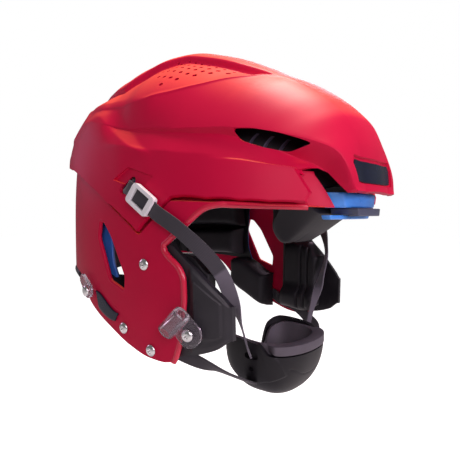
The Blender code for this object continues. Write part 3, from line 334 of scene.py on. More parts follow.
def facet_lift(angle, spread):
    """A blunt crease where the rear panel turns away from the side."""
    off = angle - FACET(spread)
    near = np.maximum(1 - np.where(off > 0, off / FACET_FADE["behind"], -off / FACET_FADE["ahead"]), 0.0)
    return FACET_LIFT * near * ease(spread, *FACET_BEGINS) * (1 - ease(spread, *FACET_ENDS))


def upper_grid(angle, soften=1):
    """Outer points of the upper shell: a column for each fan angle, from the left border to the right one."""
    spreads, lifts = upper_rows(angle)
    spread_steps, lift_steps = [], []
    for k, (steps, wall) in enumerate(UPPER_STRIPS):
        last = k == len(UPPER_STRIPS) - 1
        t = np.arange(steps + last) / steps
        spread_steps.append(spreads[:, k:k + 1] + (spreads[:, k + 1:k + 2] - spreads[:, k:k + 1]) * t)
        t = ease(t, 0.0, 1.0) if wall else t
        lift_steps.append(lifts[:, k:k + 1] + (lifts[:, k + 1:k + 2] - lifts[:, k:k + 1]) * t)
    spread, lift = np.concatenate(spread_steps, 1), np.concatenate(lift_steps, 1)
    lift += facet_lift(angle[:, None], spread)
    for _ in range(soften):
        lift[:, 1:-1] = lift[:, :-2] * 0.25 + lift[:, 1:-1] * 0.5 + lift[:, 2:] * 0.25
    right = fan_point(UPPER, angle[:, None], spread, lift)
    return np.concatenate([mirror(right[:, :0:-1]), right], 1)


def upper_lift(angle, spread):
    spreads, lifts = upper_rows(np.array([angle]))
    return float(np.interp(spread, spreads[0], lifts[0]))


BOTTOM_KEYS = [(60, -92), (34, -92), (27, -93), (13, -92), (-8, -86), (-32, -75), (-50, -66.5), (-64, -58),
               (-76, -45), (-88, -36), (-110, -33), (-151, -32)]
BOTTOM = Curve([(LOWER.azimuth(LOWER.side_point(x, z)), z) for x, z in BOTTOM_KEYS])
RIM = Curve([(LOWER.azimuth(UPPER.side_point(x, z)), z) for x, z in BORDER_KEYS], eased=False)

VENT = [(73.0, 74.4), (76.4, 66.4), (90.7, 61.0), (106.2, 57.3), (122.5, 62.2), (115.8, 65.4),
        (100.8, 70.6), (85.4, 74.0)]
NOTCH = [(113.0, 45.1), (117.5, 46.6), (121.5, 46.4), (127, 43.2), (133.2, 35.9), (138.8, 29.6), (170, 29.6),
         (170, 5), (119.2, 5), (119.2, 23.7), (121.0, 29.7)]
FACE = [(27.7, -7.2), (34.8, -2.0), (57, 17.0), (62, 19.9), (70, 21.6), (170, 18.0), (170, -130), (31, -130),
        (33.5, -93), (36.7, -88.3), (41.6, -74.5), (44.9, -45.5), (44.6, -30), (41, -22.5),
        (33, -16.5), (28.6, -11.8)]
WINDOW = [(-44.4, 10.5), (-47.8, -3.8), (-31.4, -38.5), (-11.9, -45.6), (-10.8, -32.6), (-27.6, -2.0),
          (-38, 9.5)]
ACROSS = 150.0
ARM_END = ((36.0, 17.0), (48.0, 42.0))
ARM_RISE = 10.0


def mirror(points):
    return points * np.array((1.0, -1.0, 1.0))


# What carries a right-hand point to each side
TO_SIDES = (np.asarray, mirror)


# Modelling helpers


def only(piece):
    """Select one piece alone and make it active."""
    bpy.ops.object.select_all(action='DESELECT')
    piece.select_set(True)
    bpy.context.view_layer.objects.active = piece
    return piece


def in_edit(piece, *actions):
    """Run edit-mode actions on all of a piece."""
    only(piece)
    bpy.ops.object.mode_set(mode='EDIT')
    bpy.ops.mesh.select_all(action='SELECT')
    for action in actions:
        action()
    bpy.ops.object.mode_set(mode='OBJECT')
    return piece


def outward():
    bpy.ops.mesh.normals_make_consistent(inside=False)


def weld():
    bpy.ops.mesh.remove_doubles(threshold=0.00001)


def coordinates(piece):
    flat = np.zeros(len(piece.data.vertices) * 3)
    piece.data.vertices.foreach_get("co", flat)
    return flat.reshape(-1, 3)


def place_points(piece, points):
    piece.data.vertices.foreach_set("co", np.asarray(points, float).ravel())
    piece.data.update()


def added(name):
    """The primitive that was just added, under its own name."""
    piece = bpy.context.object
    piece.name = piece.data.name = name
    return piece


def grid_piece(name, points, loop=False):
    """A grid primitive shaped to columns and rows of points. A loop's last column meets its first."""
    if loop:
        points = np.concatenate([points, points[:1]], 0)
    columns, rows = points.shape[:2]
    bpy.ops.object.select_all(action='DESELECT')
    bpy.ops.mesh.primitive_grid_add(x_subdivisions=columns - 1, y_subdivisions=rows - 1, size=2.0)
    piece = added(name)
    at = coordinates(piece)
    column = np.rint((at[:, 0] + 1) / 2 * (columns - 1)).astype(int)
    row = np.rint((at[:, 1] + 1) / 2 * (rows - 1)).astype(int)
    place_points(piece, points[column, row] * MM)
    if loop:
        in_edit(piece, weld)
    return piece


def thicken(piece, offset):
    """Extrude a sheet into a closed wall; offset gives each point's way to the other face, in millimetres."""
    in_edit(piece, bpy.ops.mesh.extrude_region)
    chosen = np.zeros(len(piece.data.vertices), bool)
    piece.data.vertices.foreach_get("select", chosen)
    points = coordinates(piece)
    points[chosen] += offset(points[chosen] / MM) * MM
    place_points(piece, points)
    return in_edit(piece, outward)


def slab_piece(name, outer, inner):
    """A closed body between two grids of the same size."""
    piece = grid_piece(name, outer)
    order = coordinates(grid_piece("inner_guide", inner))
    bpy.data.objects.remove(bpy.data.objects["inner_guide"])
    in_edit(piece, bpy.ops.mesh.extrude_region)
    points = coordinates(piece)
    points[len(order):] = order
    place_points(piece, points)
    return in_edit(piece, outward)


def outline_block(name, outline, sweep):
    """A flat outline of points, carried along a sweep into a closed block."""
    bpy.ops.object.select_all(action='DESELECT')
    bpy.ops.mesh.primitive_circle_add(vertices=len(outline), fill_type='NGON')
    piece = added(name)
    place_points(piece, np.asarray(outline, float) * MM)

    def carry():
        way = tuple(np.asarray(sweep, float) * MM)
        bpy.ops.mesh.extrude_region_move(TRANSFORM_OT_translate={"value": way})
        bpy.ops.mesh.select_all(action='SELECT')
    return in_edit(piece, carry, outward)


def side_block(name, outline):
    """A side-view outline carried right across: a cutter for both sides."""
    points = [(x, -ACROSS, z) for x, z in outline]
    return outline_block(name, points, (0.0, 2 * ACROSS, 0.0))


def rounded(outline, radius, steps=5):
    """A flat outline with its corners rounded by short curves."""
    points = np.asarray(outline, float)
    result = []
    for before, corner, after in zip(np.roll(points, 1, 0), points, np.roll(points, -1, 0)):
        cut = min(radius, 0.45 * np.linalg.norm(before - corner), 0.45 * np.linalg.norm(after - corner))
        start, end = corner + unit(before - corner) * cut, corner + unit(after - corner) * cut
        for t in np.linspace(0, 1, steps):
            result.append((1 - t) ** 2 * start + 2 * t * (1 - t) * corner + t * t * end)
    return np.array(result)


def modify(piece, kind, **settings):
    """Add a modifier and apply it."""
    only(piece)
    modifier = piece.modifiers.new(kind.lower(), kind)
    for key, value in settings.items():
        setattr(modifier, key, value)
    bpy.ops.object.modifier_apply(modifier=modifier.name)
    return piece


def cut(piece, cutter, operation='DIFFERENCE'):
    modify(piece, 'BOOLEAN', operation=operation, solver='EXACT', object=cutter)
    bpy.data.objects.remove(cutter)
    return piece


def join(name, pieces):
    bpy.ops.object.select_all(action='DESELECT')
    for piece in pieces:
        piece.select_set(True)
    bpy.context.view_layer.objects.active = pieces[0]
    bpy.ops.object.join()
    pieces[0].name = pieces[0].data.name = name
    return pieces[0]


def bevel(piece, width, segments=3, angle=35.0):
    return modify(piece, 'BEVEL', width=width * MM, segments=segments, limit_method='ANGLE',
                  angle_limit=math.radians(angle))


def smooth(piece, angle=35.0):
    only(piece)
    bpy.ops.object.shade_smooth_by_angle(angle=math.radians(angle))
    return piece


def bead(name, line, radius, closed=False, sides=3):
    """A round bead along a line of points."""
    curve = bpy.data.curves.new(name, 'CURVE')
    curve.dimensions = '3D'
    curve.bevel_depth = radius * MM
    curve.bevel_resolution = sides
    curve.use_fill_caps = True
    spline = curve.splines.new('POLY')
    spline.points.add(len(line) - 1)
    for point, place in zip(spline.points, line):
        point.co = (*(np.asarray(place) * MM), 1.0)
    spline.use_cyclic_u = closed
    piece = bpy.data.objects.new(name, curve)
    bpy.context.scene.collection.objects.link(piece)
    only(piece)
    bpy.ops.object.convert(target='MESH')
    return in_edit(bpy.context.object, weld, outward)


def axes_about(normal):
    """Two tangents of a surface: along it level, and along it upwards."""
    normal = unit(normal)
    level = unit(np.cross((0.0, 0.0, 1.0), normal))
    return level, np.cross(normal, level), normal


def stand(piece, place, level, rise, normal):
    """Turn a piece that was modelled about the origin to three axes, and move it to its place."""
    turn = Matrix(np.stack([level, rise, normal], 1).tolist()).to_4x4()
    piece.data.transform(Matrix.Translation(Vector(np.asarray(place) * MM)) @ turn)
    return in_edit(piece, outward)


def turned(name, profile, sides=32):
    """A turned piece about +Z: a circle extruded and scaled through (radius, height) pairs."""
    bpy.ops.object.select_all(action='DESELECT')
    radius, height = profile[0]
    bpy.ops.mesh.primitive_circle_add(vertices=sides, radius=radius * MM, fill_type='NGON',
                                      location=(0, 0, height * MM))
    piece = added(name)
    bpy.ops.object.transform_apply(location=True)

    def raise_rings():
        for (r0, h0), (r1, h1) in zip(profile, profile[1:]):
            bpy.ops.mesh.extrude_region_move(TRANSFORM_OT_translate={"value": (0, 0, (h1 - h0) * MM)})
            bpy.ops.transform.resize(value=(r1 / r0, r1 / r0, 1.0), center_override=(0, 0, h1 * MM))
        bpy.ops.mesh.select_all(action='SELECT')
    return in_edit(piece, raise_rings, outward)


def flip(piece):
    """Carry a piece over to the wearer's other side."""
    piece.data.transform(Matrix.Diagonal((1.0, -1.0, 1.0, 1.0)))
    piece.data.flip_normals()
    return piece


def left_copy(piece, name):
    """The wearer's left piece: a mirrored copy with its own mesh."""
    copy = piece.copy()
    copy.data = piece.data.copy()
    copy.name = copy.data.name = name
    bpy.context.scene.collection.objects.link(copy)
    return flip(copy)


def pair_of(piece):
    """A right-hand piece and its mirrored copy, by side; their names end in right and left."""
    stem = piece.name
    pair = {"right": piece, "left": left_copy(piece, f"{stem}_left")}
    piece.name = piece.data.name = f"{stem}_right"
    return pair


def dress(piece, finish, body="helmet", nodes=()):
    """Give a finished piece its material, its body and the CAD nodes that it stands for."""
    piece.data.materials.clear()
    piece.data.materials.append(FINISH[finish])
    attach(piece, body)
    if nodes:
        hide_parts(*nodes)
    return piece


def dress_pair(piece, finish, node, bodies=None):
    """Dress a right-hand piece and its mirrored copy; their nodes end in right and left."""
    pair = pair_of(piece)
    for side, one in pair.items():
        body = f"{bodies}_{side}" if bodies else "helmet"
        dress(one, finish, body, [f"{node}_{side}"] if node else [])


# Finishes


def node(tree, kind, **settings):
    made = tree.nodes.new(kind)
    for key, value in settings.items():
        if key in made.inputs:
            made.inputs[key].default_value = value
        else:
            setattr(made, key, value)
    return made


def finish(name, colour, roughness, metallic=0.0, mottle=0.1, mottle_scale=40.0, grain=0.0,
           grain_scale=1200.0, rough_spread=0.06, **sockets):
    """A Principled finish with uneven colour and roughness, and a fine grain in its surface."""
    material = bpy.data.materials.new(name)
    material.use_nodes = True
    tree = material.node_tree
    shader = tree.nodes["Principled BSDF"]
    shader.inputs["Metallic"].default_value = metallic
    for key, value in sockets.items():
        shader.inputs[key.replace("_", " ")].default_value = value
    place = node(tree, 'ShaderNodeTexCoord')
    cloud = node(tree, 'ShaderNodeTexNoise', Scale=mottle_scale, Detail=4.0)
    tree.links.new(place.outputs["Object"], cloud.inputs["Vector"])
    tint = node(tree, 'ShaderNodeValToRGB')
    dark, light = tint.color_ramp.elements
    dark.position, light.position = 0.3, 0.7
    dark.color = (*(c * (1 - mottle) for c in colour), 1.0)
    light.color = (*(min(c * (1 + mottle), 1.0) for c in colour), 1.0)
    tree.links.new(cloud.outputs["Fac"], tint.inputs["Fac"])
    tree.links.new(tint.outputs["Color"], shader.inputs["Base Color"])
    rough = node(tree, 'ShaderNodeMapRange')
    rough.inputs["To Min"].default_value = roughness - rough_spread
    rough.inputs["To Max"].default_value = roughness + rough_spread
    tree.links.new(cloud.outputs["Fac"], rough.inputs["Value"])
    tree.links.new(rough.outputs["Result"], shader.inputs["Roughness"])
    if grain:
        fine = node(tree, 'ShaderNodeTexNoise', Scale=grain_scale, Detail=3.0)
        tree.links.new(place.outputs["Object"], fine.inputs["Vector"])
        bump = node(tree, 'ShaderNodeBump', Strength=grain, Distance=0.0004)
        tree.links.new(fine.outputs["Fac"], bump.inputs["Height"])
        tree.links.new(bump.outputs["Normal"], shader.inputs["Normal"])
    return material


def mark(piece, where):
    """Note the points that take a finish's second colour: painted shade on the inner cap and painted light on
    the webbing.
    """
    shade = piece.data.attributes.new("painted_shade_and_light", 'FLOAT', 'POINT')
    shade.data.foreach_set("value", np.where(where, 1.0, 0.0))


def turn_colour(material, share, colour):
    """Blend a finish's colour into another one, by a share from the same node tree."""
    tree = material.node_tree
    base = tree.nodes["Principled BSDF"].inputs["Base Color"]
    tint = base.links[0].from_socket
    blend = node(tree, 'ShaderNodeMix', data_type='RGBA')
    tree.links.new(share, blend.inputs["Factor"])
    tree.links.new(tint, blend.inputs[6])
    blend.inputs[7].default_value = (*colour, 1.0)
    tree.links.new(blend.outputs[2], base)
    return material


def painted_shade_and_light(material, colour):
    """Let a finish turn to its painted shade and light colour where the mesh's attribute of the same name says
    so.
    """
    mask = node(material.node_tree, 'ShaderNodeAttribute', attribute_name="painted_shade_and_light")
    return turn_colour(material, mask.outputs["Fac"], colour)


# How far up a surface looks, from 0 level to 1 straight up, where the painted top light begins and ends its
# turn
TOP_LIGHT_TURNS = (0.50, 0.86)


def paint_top_light(material, colour):
    """Painted light: the paint turns to a lighter orange-red where the surface looks up, standing for the light
    from above.
    """
    tree = material.node_tree
    surface = node(tree, 'ShaderNodeNewGeometry')
    way = node(tree, 'ShaderNodeSeparateXYZ')
    tree.links.new(surface.outputs["Normal"], way.inputs["Vector"])
    share = node(tree, 'ShaderNodeMapRange', interpolation_type='SMOOTHSTEP')
    share.inputs["From Min"].default_value, share.inputs["From Max"].default_value = TOP_LIGHT_TURNS
    tree.links.new(way.outputs["Z"], share.inputs["Value"])
    return turn_colour(material, share.outputs["Result"], colour)


WAVE_TURN = 6.2832


def webbing(name, colour, width_threads=30.0, length_threads=620.0):
    """Flat woven webbing: threads across and along the strap's own UV map."""
    material = bpy.data.materials.new(name)
    material.use_nodes = True
    tree = material.node_tree
    shader = tree.nodes["Principled BSDF"]
    shader.inputs["Roughness"].default_value = 0.8
    shader.inputs["Sheen Weight"].default_value = 0.25
    place = node(tree, 'ShaderNodeTexCoord')
    waves = []
    for direction, scale in (('X', length_threads), ('Y', width_threads)):
        wave = node(tree, 'ShaderNodeTexWave', wave_type='BANDS', bands_direction=direction,
                    Scale=scale / WAVE_TURN)
        tree.links.new(place.outputs["UV"], wave.inputs["Vector"])
        waves.append(wave)
    weave = node(tree, 'ShaderNodeMath', operation='MULTIPLY')
    tree.links.new(waves[0].outputs["Fac"], weave.inputs[0])
    tree.links.new(waves[1].outputs["Fac"], weave.inputs[1])
    tint = node(tree, 'ShaderNodeValToRGB')
    tint.color_ramp.elements[0].color = (*(c * 0.82 for c in colour), 1.0)
    tint.color_ramp.elements[1].color = (*(c * 1.15 for c in colour), 1.0)
    tree.links.new(weave.outputs["Value"], tint.inputs["Fac"])
    tree.links.new(tint.outputs["Color"], shader.inputs["Base Color"])
    bump = node(tree, 'ShaderNodeBump', Strength=0.25, Distance=0.0002)
    tree.links.new(weave.outputs["Value"], bump.inputs["Height"])
    tree.links.new(bump.outputs["Normal"], shader.inputs["Normal"])
    return material


FINISH = {
    # Painted light: the red turns orange-red on faces that look up, where the light from above falls
    "shell_red": paint_top_light(finish("satin_red_paint_painted_top_light", (0.60, 0.002, 0.048), 0.44, mottle=0.05,
                                 mottle_scale=14.0, grain=0.03, grain_scale=2600.0,
                                 Specular_IOR_Level=0.20),
                          (0.94, 0.085, 0.062)),
    "lip_red": finish("glossy_red_edge", (0.66, 0.012, 0.055), 0.24, mottle=0.05, mottle_scale=14.0,
                      grain=0.02, Specular_IOR_Level=0.6),
    "cap_blue": finish("blue_moulding", (0.07, 0.33, 1.0), 0.3, mottle=0.12, grain=0.05, Coat_Weight=0.3),
    # Painted shade: the blue cap turns near black where marked, standing for the shade inside the helmet and
    # under the beak
    "cap_painted_shade": painted_shade_and_light(finish("blue_moulding_painted_shade", (0.05, 0.22, 0.80), 0.42, mottle=0.12, grain=0.05),
                       (0.008, 0.007, 0.011)),
    "pad_black": finish("moulded_pad_skin", (0.014, 0.0125, 0.0165), 0.58, mottle=0.2, grain=0.12,
                        grain_scale=1500.0, Specular_IOR_Level=0.35),
    "hard_black": finish("black_moulding", (0.021, 0.0185, 0.0245), 0.42, mottle=0.15, grain=0.08,
                         grain_scale=2400.0, Specular_IOR_Level=0.45),
    # Painted light: the webbing turns paler where marked, standing for the light that the strap's lower run
    # catches
    "webbing_grey": painted_shade_and_light(webbing("grey_webbing", (0.040, 0.036, 0.046)), (0.120, 0.108, 0.135)),
    "buckle_white": finish("white_moulding", (0.90, 0.89, 0.91), 0.38, mottle=0.03, grain=0.04),
    "clear_plastic": finish("clear_moulding", (0.66, 0.60, 0.66), 0.14, mottle=0.05, grain=0.1,
                            grain_scale=500.0, Transmission_Weight=0.92, IOR=1.42),
    "chrome": finish("bright_screw_metal", (0.78, 0.77, 0.77), 0.2, metallic=1.0, mottle=0.06,
                     mottle_scale=300.0, grain=0.04),
    "plate_dark": finish("dark_gloss_plate", (0.006, 0.009, 0.028), 0.26, mottle=0.2, grain=0.03,
                         Specular_IOR_Level=0.4),
    "liner_grey": finish("soft_grey_liner", (0.105, 0.092, 0.112), 0.6, mottle=0.12, grain=0.15,
                         grain_scale=1500.0),
    "cup_black": finish("cup_moulding", (0.010, 0.009, 0.0120), 0.46, mottle=0.15, grain=0.06,
                        grain_scale=2400.0, Specular_IOR_Level=0.28),
    # Partly painted reflection: the dark glossy bracket is painted a lighter blue-grey, standing for the light
    # it reflects
    "tongue_grey": finish("bracket_moulding_painted_reflection", (0.085, 0.095, 0.150), 0.34, mottle=0.15, grain=0.05),
    # The ribs' dark moulding, painted lighter than the vent insert so that they show in the vent's shade
    "vent_rib": finish("vent_rib_moulding_painted_lighter", (0.10, 0.085, 0.14), 0.4, mottle=0.15, grain=0.05),
    "vent_dark": finish("vent_shadow_black", (0.008, 0.008, 0.012), 0.5, mottle=0.2, grain=0.05),
}


# Shells


def build_upper_shell():
    angles = np.concatenate([np.linspace(FAN_FRONT, CHANNEL_FRONT - 1.5, 64)[:-1],
                             np.linspace(CHANNEL_FRONT - 1.5, CHANNEL_FRONT, 6)[:-1],
                             np.linspace(CHANNEL_FRONT, CHANNEL_BACK, 60)[:-1],
                             np.linspace(CHANNEL_BACK, CHANNEL_BACK + 1.5, 6)[:-1],
                             np.linspace(CHANNEL_BACK + 1.5, FAN_BACK, 30)])
    shell = grid_piece("shell_upper", upper_grid(angles))
    thicken(shell, lambda p: -WALL * unit(p - HUB))
    cut(shell, side_block("notch_cutter", NOTCH))
    cut(shell, side_block("vent_cutter", rounded(VENT, 3.0)))
    cutters = []
    for turn in TO_SIDES:
        on = UPPER.side_point(*TEMPLE_SLOT)
        cutters.append(slot_block("temple_slot", turn(on), turn(UPPER.normal(on)), turn(TEMPLE_SLOT_WAY),
                                  *TEMPLE_SLOT_SIZE, 12.0))
        recess = recess_block(TEMPLE_RECESS, TEMPLE_RECESS_FLOOR)
        cut(shell, flip(recess) if turn is mirror else recess)
    cutters.append(badge_block("badge_recess", **BADGE_RECESS))
    cutters += perforations()
    cut(shell, join("upper_cutters", cutters))
    smooth(shell, 28.0)
    dress(shell, "shell_red", nodes=["upper_shell"])


# Rows of holes in each crown channel: fan angle of the first, step, slowing of the step,
# spread, its drift, and how many
HOLE_ROWS = [(74.6, 3.5, 0.15, 15.0, -0.15, 7), (74.4, 4.0, 0.20, 17.6, -0.35, 9),
             (78.7, 3.2, 0.11, 19.7, -0.40, 8), (82.2, 3.0, 0.07, 22.1, -0.50, 7),
             (86.5, 2.6, 0.0, 24.5, -0.50, 4), (90.3, 2.6, 0.0, 26.9, -0.50, 1)]
HOLE_RADIUS = 2.3
FIRST_ROW_RADIUS = 1.6
SHRINK_ALONG = 0.065
SHRINK_BY_ROW = 0.08


def perforations():
    """Round holes in rows along both crown channels, largest in front."""
    holes = []
    for row, (start, step, slowing, spread, drift, count) in enumerate(HOLE_ROWS):
        for k in range(count):
            angle = start + step * k - slowing * k * k
            first = HOLE_RADIUS if row else FIRST_ROW_RADIUS
            size = first * (1 - SHRINK_ALONG * k) - SHRINK_BY_ROW * row
            on = fan_point(UPPER, angle, spread + drift * k)
            for turn in TO_SIDES:
                hole = turned("perforation", [(size, -15.0), (size, 6.0)], 14)
                holes.append(stand(hole, turn(on), *axes_about(turn(UPPER.normal(on)))))
    return holes


TEMPLE_RECESS = [(-22.4, 41.4), (-7.6, 50.7), (19.0, 42.6), (7.0, 32.8)]
TEMPLE_RECESS_FLOOR = -1.2


def recess_block(outline, floor):
    """A cutter for a shallow recess: a four-cornered patch, from its floor to clear of the shell."""
    corners = np.array(outline)
    u, v = np.meshgrid(np.linspace(0, 1, 16), np.linspace(0, 1, 12), indexing="ij")
    u, v = u[..., None], v[..., None]
    flat = (corners[0] * (1 - u) + corners[1] * u) * (1 - v) + (corners[3] * (1 - u) + corners[2] * u) * v
    x, z = flat[..., 0], flat[..., 1]
    block = slab_piece("recess_cutter", UPPER.grown(9.0).side_point(x, z),
                       UPPER.grown(floor).side_point(x, z))
    return bevel(block, 1.6, 3, 50.0)


def slot_block(name, centre, normal, along, length, width, depth):
    """A round-ended slot through a wall."""
    normal = unit(normal)
    along = unit(along - normal * along.dot(normal))
    aside = np.cross(normal, along)
    outline = []
    for end in (1, -1):
        for angle in np.linspace(-math.pi / 2, math.pi / 2, 8):
            outline.append(end * (along * ((length - width) / 2 + width / 2 * math.cos(angle))
                                  + aside * width / 2 * math.sin(angle)))
    return outline_block(name, centre + np.array(outline) - normal * depth, normal * 2 * depth)


# The badge's heights on the beak, and its recess and plate measured from the shell's surface
BADGE_LOW, BADGE_WIDEST, BADGE_HIGH = 35.2, 45.0, 48.8
BADGE_RECESS = dict(low=-2.2, high=6.0, grow=2.0)
BADGE_PLATE = dict(low=-2.1, high=-1.3, grow=0.0)
BADGE_HALF = Curve([(BADGE_LOW, 30.0), (BADGE_WIDEST, 33.5), (BADGE_HIGH, 31.0)], eased=False)


def badge_block(name, low, high, grow):
    """The plate on the front of the beak: six-sided, following the shell."""
    grids = []
    for by in (high, low):
        columns = []
        for z in (BADGE_LOW - grow, (BADGE_LOW + BADGE_WIDEST) / 2, BADGE_WIDEST, BADGE_HIGH + grow):
            column = []
            for t in np.linspace(-1, 1, 15):
                y = t * (BADGE_HALF(z) + grow)
                rest = UPPER.ring_at(z) - (abs(y) / UPPER.side) ** UPPER.plan
                x = UPPER.centre + UPPER.front * rest ** (1 / UPPER.plan)
                angle, spread = fan_angles(np.array((x, y, z)))
                point = fan_point(UPPER, angle, spread, upper_lift(angle, spread) + by)
                column.append(point if y < 0 else mirror(point))
            columns.append(column)
        grids.append(np.array(columns))
    return slab_piece(name, *grids)


def lower_point(azimuth, z):
    """On the lower form, but drawn in behind the upper shell from just under its rim."""
    point = LOWER.band_point(azimuth, z)
    inner = UPPER.grown(-WALL - FLANGE_DEPTH)
    axis = np.stack([np.full_like(z, LOWER.centre), 0.0 * z, z], -1)
    direction = unit(point - axis)
    drawn = axis + direction * inner.reach(axis, direction)[..., None]
    behind = (z > RIM(azimuth) - sum(RIM_STEP) / 2) & (inner.level(point) > 1.0)
    return np.where(behind[..., None], drawn, point)


def build_lower_shell():
    azimuth = np.concatenate([np.linspace(14.5, 120, 130)[:-1], np.linspace(120, 180, 60)])[:, None]
    rim, bottom = RIM(azimuth), BOTTOM(azimuth)
    body = bottom + (rim - RIM_STEP[1] - bottom) * np.linspace(0, 1, 30)
    tall = FLANGE + ARM_RISE * (1 - ease(azimuth, 34.0, 44.0))
    flange = rim - RIM_STEP[0] + (tall + RIM_STEP[0]) * np.linspace(0, 1, 9)
    heights = np.concatenate([body, flange], 1)
    right = lower_point(np.broadcast_to(azimuth, heights.shape), heights)
    right[-1, :, 1] = 0.0
    shell = grid_piece("shell_lower", np.concatenate([right, mirror(right[-2::-1])], 0))
    thicken(shell, lambda p: -WALL * LOWER.normal(p))
    cut(shell, side_block("face_cutter", rounded(FACE, 4.0)))
    cut(shell, side_block("window_cutter", rounded(WINDOW, 3.0)))
    (low_half, low_z), (high_half, high_z) = ARM_END
    gap = [(90.0, -low_half, low_z - 10), (90.0, low_half, low_z - 10), (90.0, low_half, low_z),
           (90.0, high_half, high_z), (90.0, high_half, high_z + 20), (90.0, -high_half, high_z + 20),
           (90.0, -high_half, high_z), (90.0, -low_half, low_z)]
    cut(shell, outline_block("arm_gap_cutter", gap, (80.0, 0.0, 0.0)))
    smooth(shell, 28.0)
    dress(shell, "shell_red", nodes=["lower_shell"])


LIP_END = (118.0, 19.85)
JAW_FOOT = -93.0


def build_face_lip():
    """The rolled edge of the face opening, from the jaw's foot to the end of the brow arm."""
    edge = rounded(FACE, 4.0)
    on_shell = [p for p in edge if p[0] < LIP_END[0] and p[1] > JAW_FOOT]
    start = int(np.argmin([p[1] for p in on_shell]))
    line = [*on_shell[start:], *on_shell[:start], LIP_END]
    lip = bead("face_edge_lip", LOWER.grown(-WALL / 2).side_point(*np.array(line).T), WALL / 2 + 0.7, sides=4)
    smooth(lip)
    dress_pair(lip, "lip_red", None)
    ring = LOWER.grown(-WALL / 2).side_point(*rounded(WINDOW, 3.0).T)
    dress_pair(smooth(bead("window_edge_lip", ring, WALL / 2 + 0.2, closed=True, sides=4)), "shell_red", None)


CAP_BORDER = [(120, 34.5), (100, 35), (70, 37), (30, 41), (-15, 41), (-34, 30), (-40, 2), (-39.5, -24),
              (-35, -37.5)]
# Painted shade: the cap turns near black in front of this length and on its inside face
CAP_PAINTED_SHADE_FROM = 20.0


def build_inner_cap():
    form = UPPER.grown(-CAP_DEPTH)
    border = side_line(form, CAP_BORDER)
    front = float(fan_angles(form.side_point(*CAP_BORDER[0]))[0])
    angle = np.linspace(front, 175.0, 90)[:, None]
    right = fan_point(form, angle, border(angle) * np.linspace(0, 1, 40))
    cap = grid_piece("cap_inner", np.concatenate([mirror(right[:, :0:-1]), right], 1))
    thicken(cap, lambda p: -CAP_WALL * unit(p - HUB))
    smooth(cap)
    at = coordinates(cap) / MM
    inside = form.grown(-CAP_WALL / 2).level(at) < 1.0
    # Mark the painted shade: the cap's inside face and its front part
    mark(cap, inside | (at[:, 0] > CAP_PAINTED_SHADE_FROM))
    dress(cap, "cap_painted_shade", nodes=["inner_cap"])


# Pads


PAD_DRAW = 0.05
PAD_TAPER = 0.93
GROOVE_WIDTH = 0.05
GROOVE_DEPTH = 3.0


def cushion(name, place, depth, thickness, counts, grooves=()):
    """A padded block: crowned towards the head, sides drawn in between its corners, with moulded grooves.

    place(u, v, depth) gives points for u and v from -1 to 1.
    """
    u, v = np.meshgrid(np.linspace(-1, 1, counts[0]), np.linspace(-1, 1, counts[1]), indexing="ij")
    drawn_u, drawn_v = u * (1 - PAD_DRAW * (1 - v * v)), v * (1 - PAD_DRAW * (1 - u * u))
    crown = np.sqrt((1 - u ** 8) * (1 - v ** 8))
    groove = sum(np.exp(-((u - g) / GROOVE_WIDTH) ** 2) for g in grooves) if grooves else 0.0 * u
    inset = thickness * (0.5 + 0.5 * crown) - GROOVE_DEPTH * groove * crown
    outer = place(drawn_u, drawn_v, depth + 0.0 * u)
    inner = place(drawn_u * PAD_TAPER, drawn_v * PAD_TAPER, depth + inset)
    pad = slab_piece(name, outer, inner)
    bevel(pad, 1.6, 3, 50.0)
    return smooth(pad, 40.0)


def grown_each(form, depth, place):
    """Points on the form shrunk by a depth for each place, in straight lines between two layers."""
    low, high = float(depth.min()), float(depth.max())
    near, far = place(form.grown(-low)), place(form.grown(-high))
    share = (depth - low) / max(high - low, 1e-6)
    return near + (far - near) * share[..., None]


def band_place(form, azimuths, heights):
    def place(u, v, depth):
        return grown_each(form, depth, lambda f: f.band_point(between(*azimuths, u), between(*heights, v)))
    return place


def fan_place(angles, spreads):
    def place(u, v, depth):
        return grown_each(UPPER, depth, lambda f: fan_point(f, between(*angles, u), between(*spreads, v)))
    return place


def side_place(form, xs, bottom, top):
    def place(u, v, depth):
        x = between(*xs, u)
        return grown_each(form, depth, lambda f: f.side_point(x, between(bottom(x), top(x), v)))
    return place


def both_sides(place):
    def across(u, v, depth):
        point = place(u, 2 * np.abs(v) - 1, depth)
        return np.where((v <= 0)[..., None], point, mirror(point))
    return across


FRONT_PAD_BACK = 19.0
FRONT_PAD_THICK = 38.0
FRONT_PAD_LOW = (15.0, -16.0)
FRONT_PAD_HALF = 27.0
FRONT_PAD_TOP = 31.0


def front_pad_place(u, v, depth):
    front_low, back_low = FRONT_PAD_LOW
    low = front_low + (back_low - front_low) * depth / FRONT_PAD_THICK + 16.0 * ease(np.abs(u), 0.5, 1.0)
    return grown_each(LOWER, depth + FRONT_PAD_BACK,
                      lambda f: f.band_point(u * FRONT_PAD_HALF, between(low, FRONT_PAD_TOP, v)))


NAPE_PAD_TOP = Curve([(-58, -36), (-42, -33.5), (-31, -38.5), (-8.5, -51)])
NAPE_PAD_BOTTOM = Curve([(-58, -62), (-41, -74), (-8.5, -88)])
JAW_PAD_TOP = Curve([(10, -14), (27, -10), (44, -13), (58, -27)])
JAW_PAD_BOTTOM = Curve([(10, -84), (35, -88), (45, -86), (58, -77)])
JAW_PAD_REACH = (10.0, 58.0)
JAW_PAD_STEP = 8.0
JAW_PAD_TURN = (56.0, 70.0)


def jaw_pad_place(u, v, depth):
    """Its lower end stands off the shell, and the lower strap passes behind it."""
    x = between(*JAW_PAD_REACH, u)
    z = between(JAW_PAD_BOTTOM(x), JAW_PAD_TOP(x), v)
    return grown_each(LOWER, depth + JAW_PAD_STEP * ease(-z, *JAW_PAD_TURN), lambda f: f.side_point(x, z))


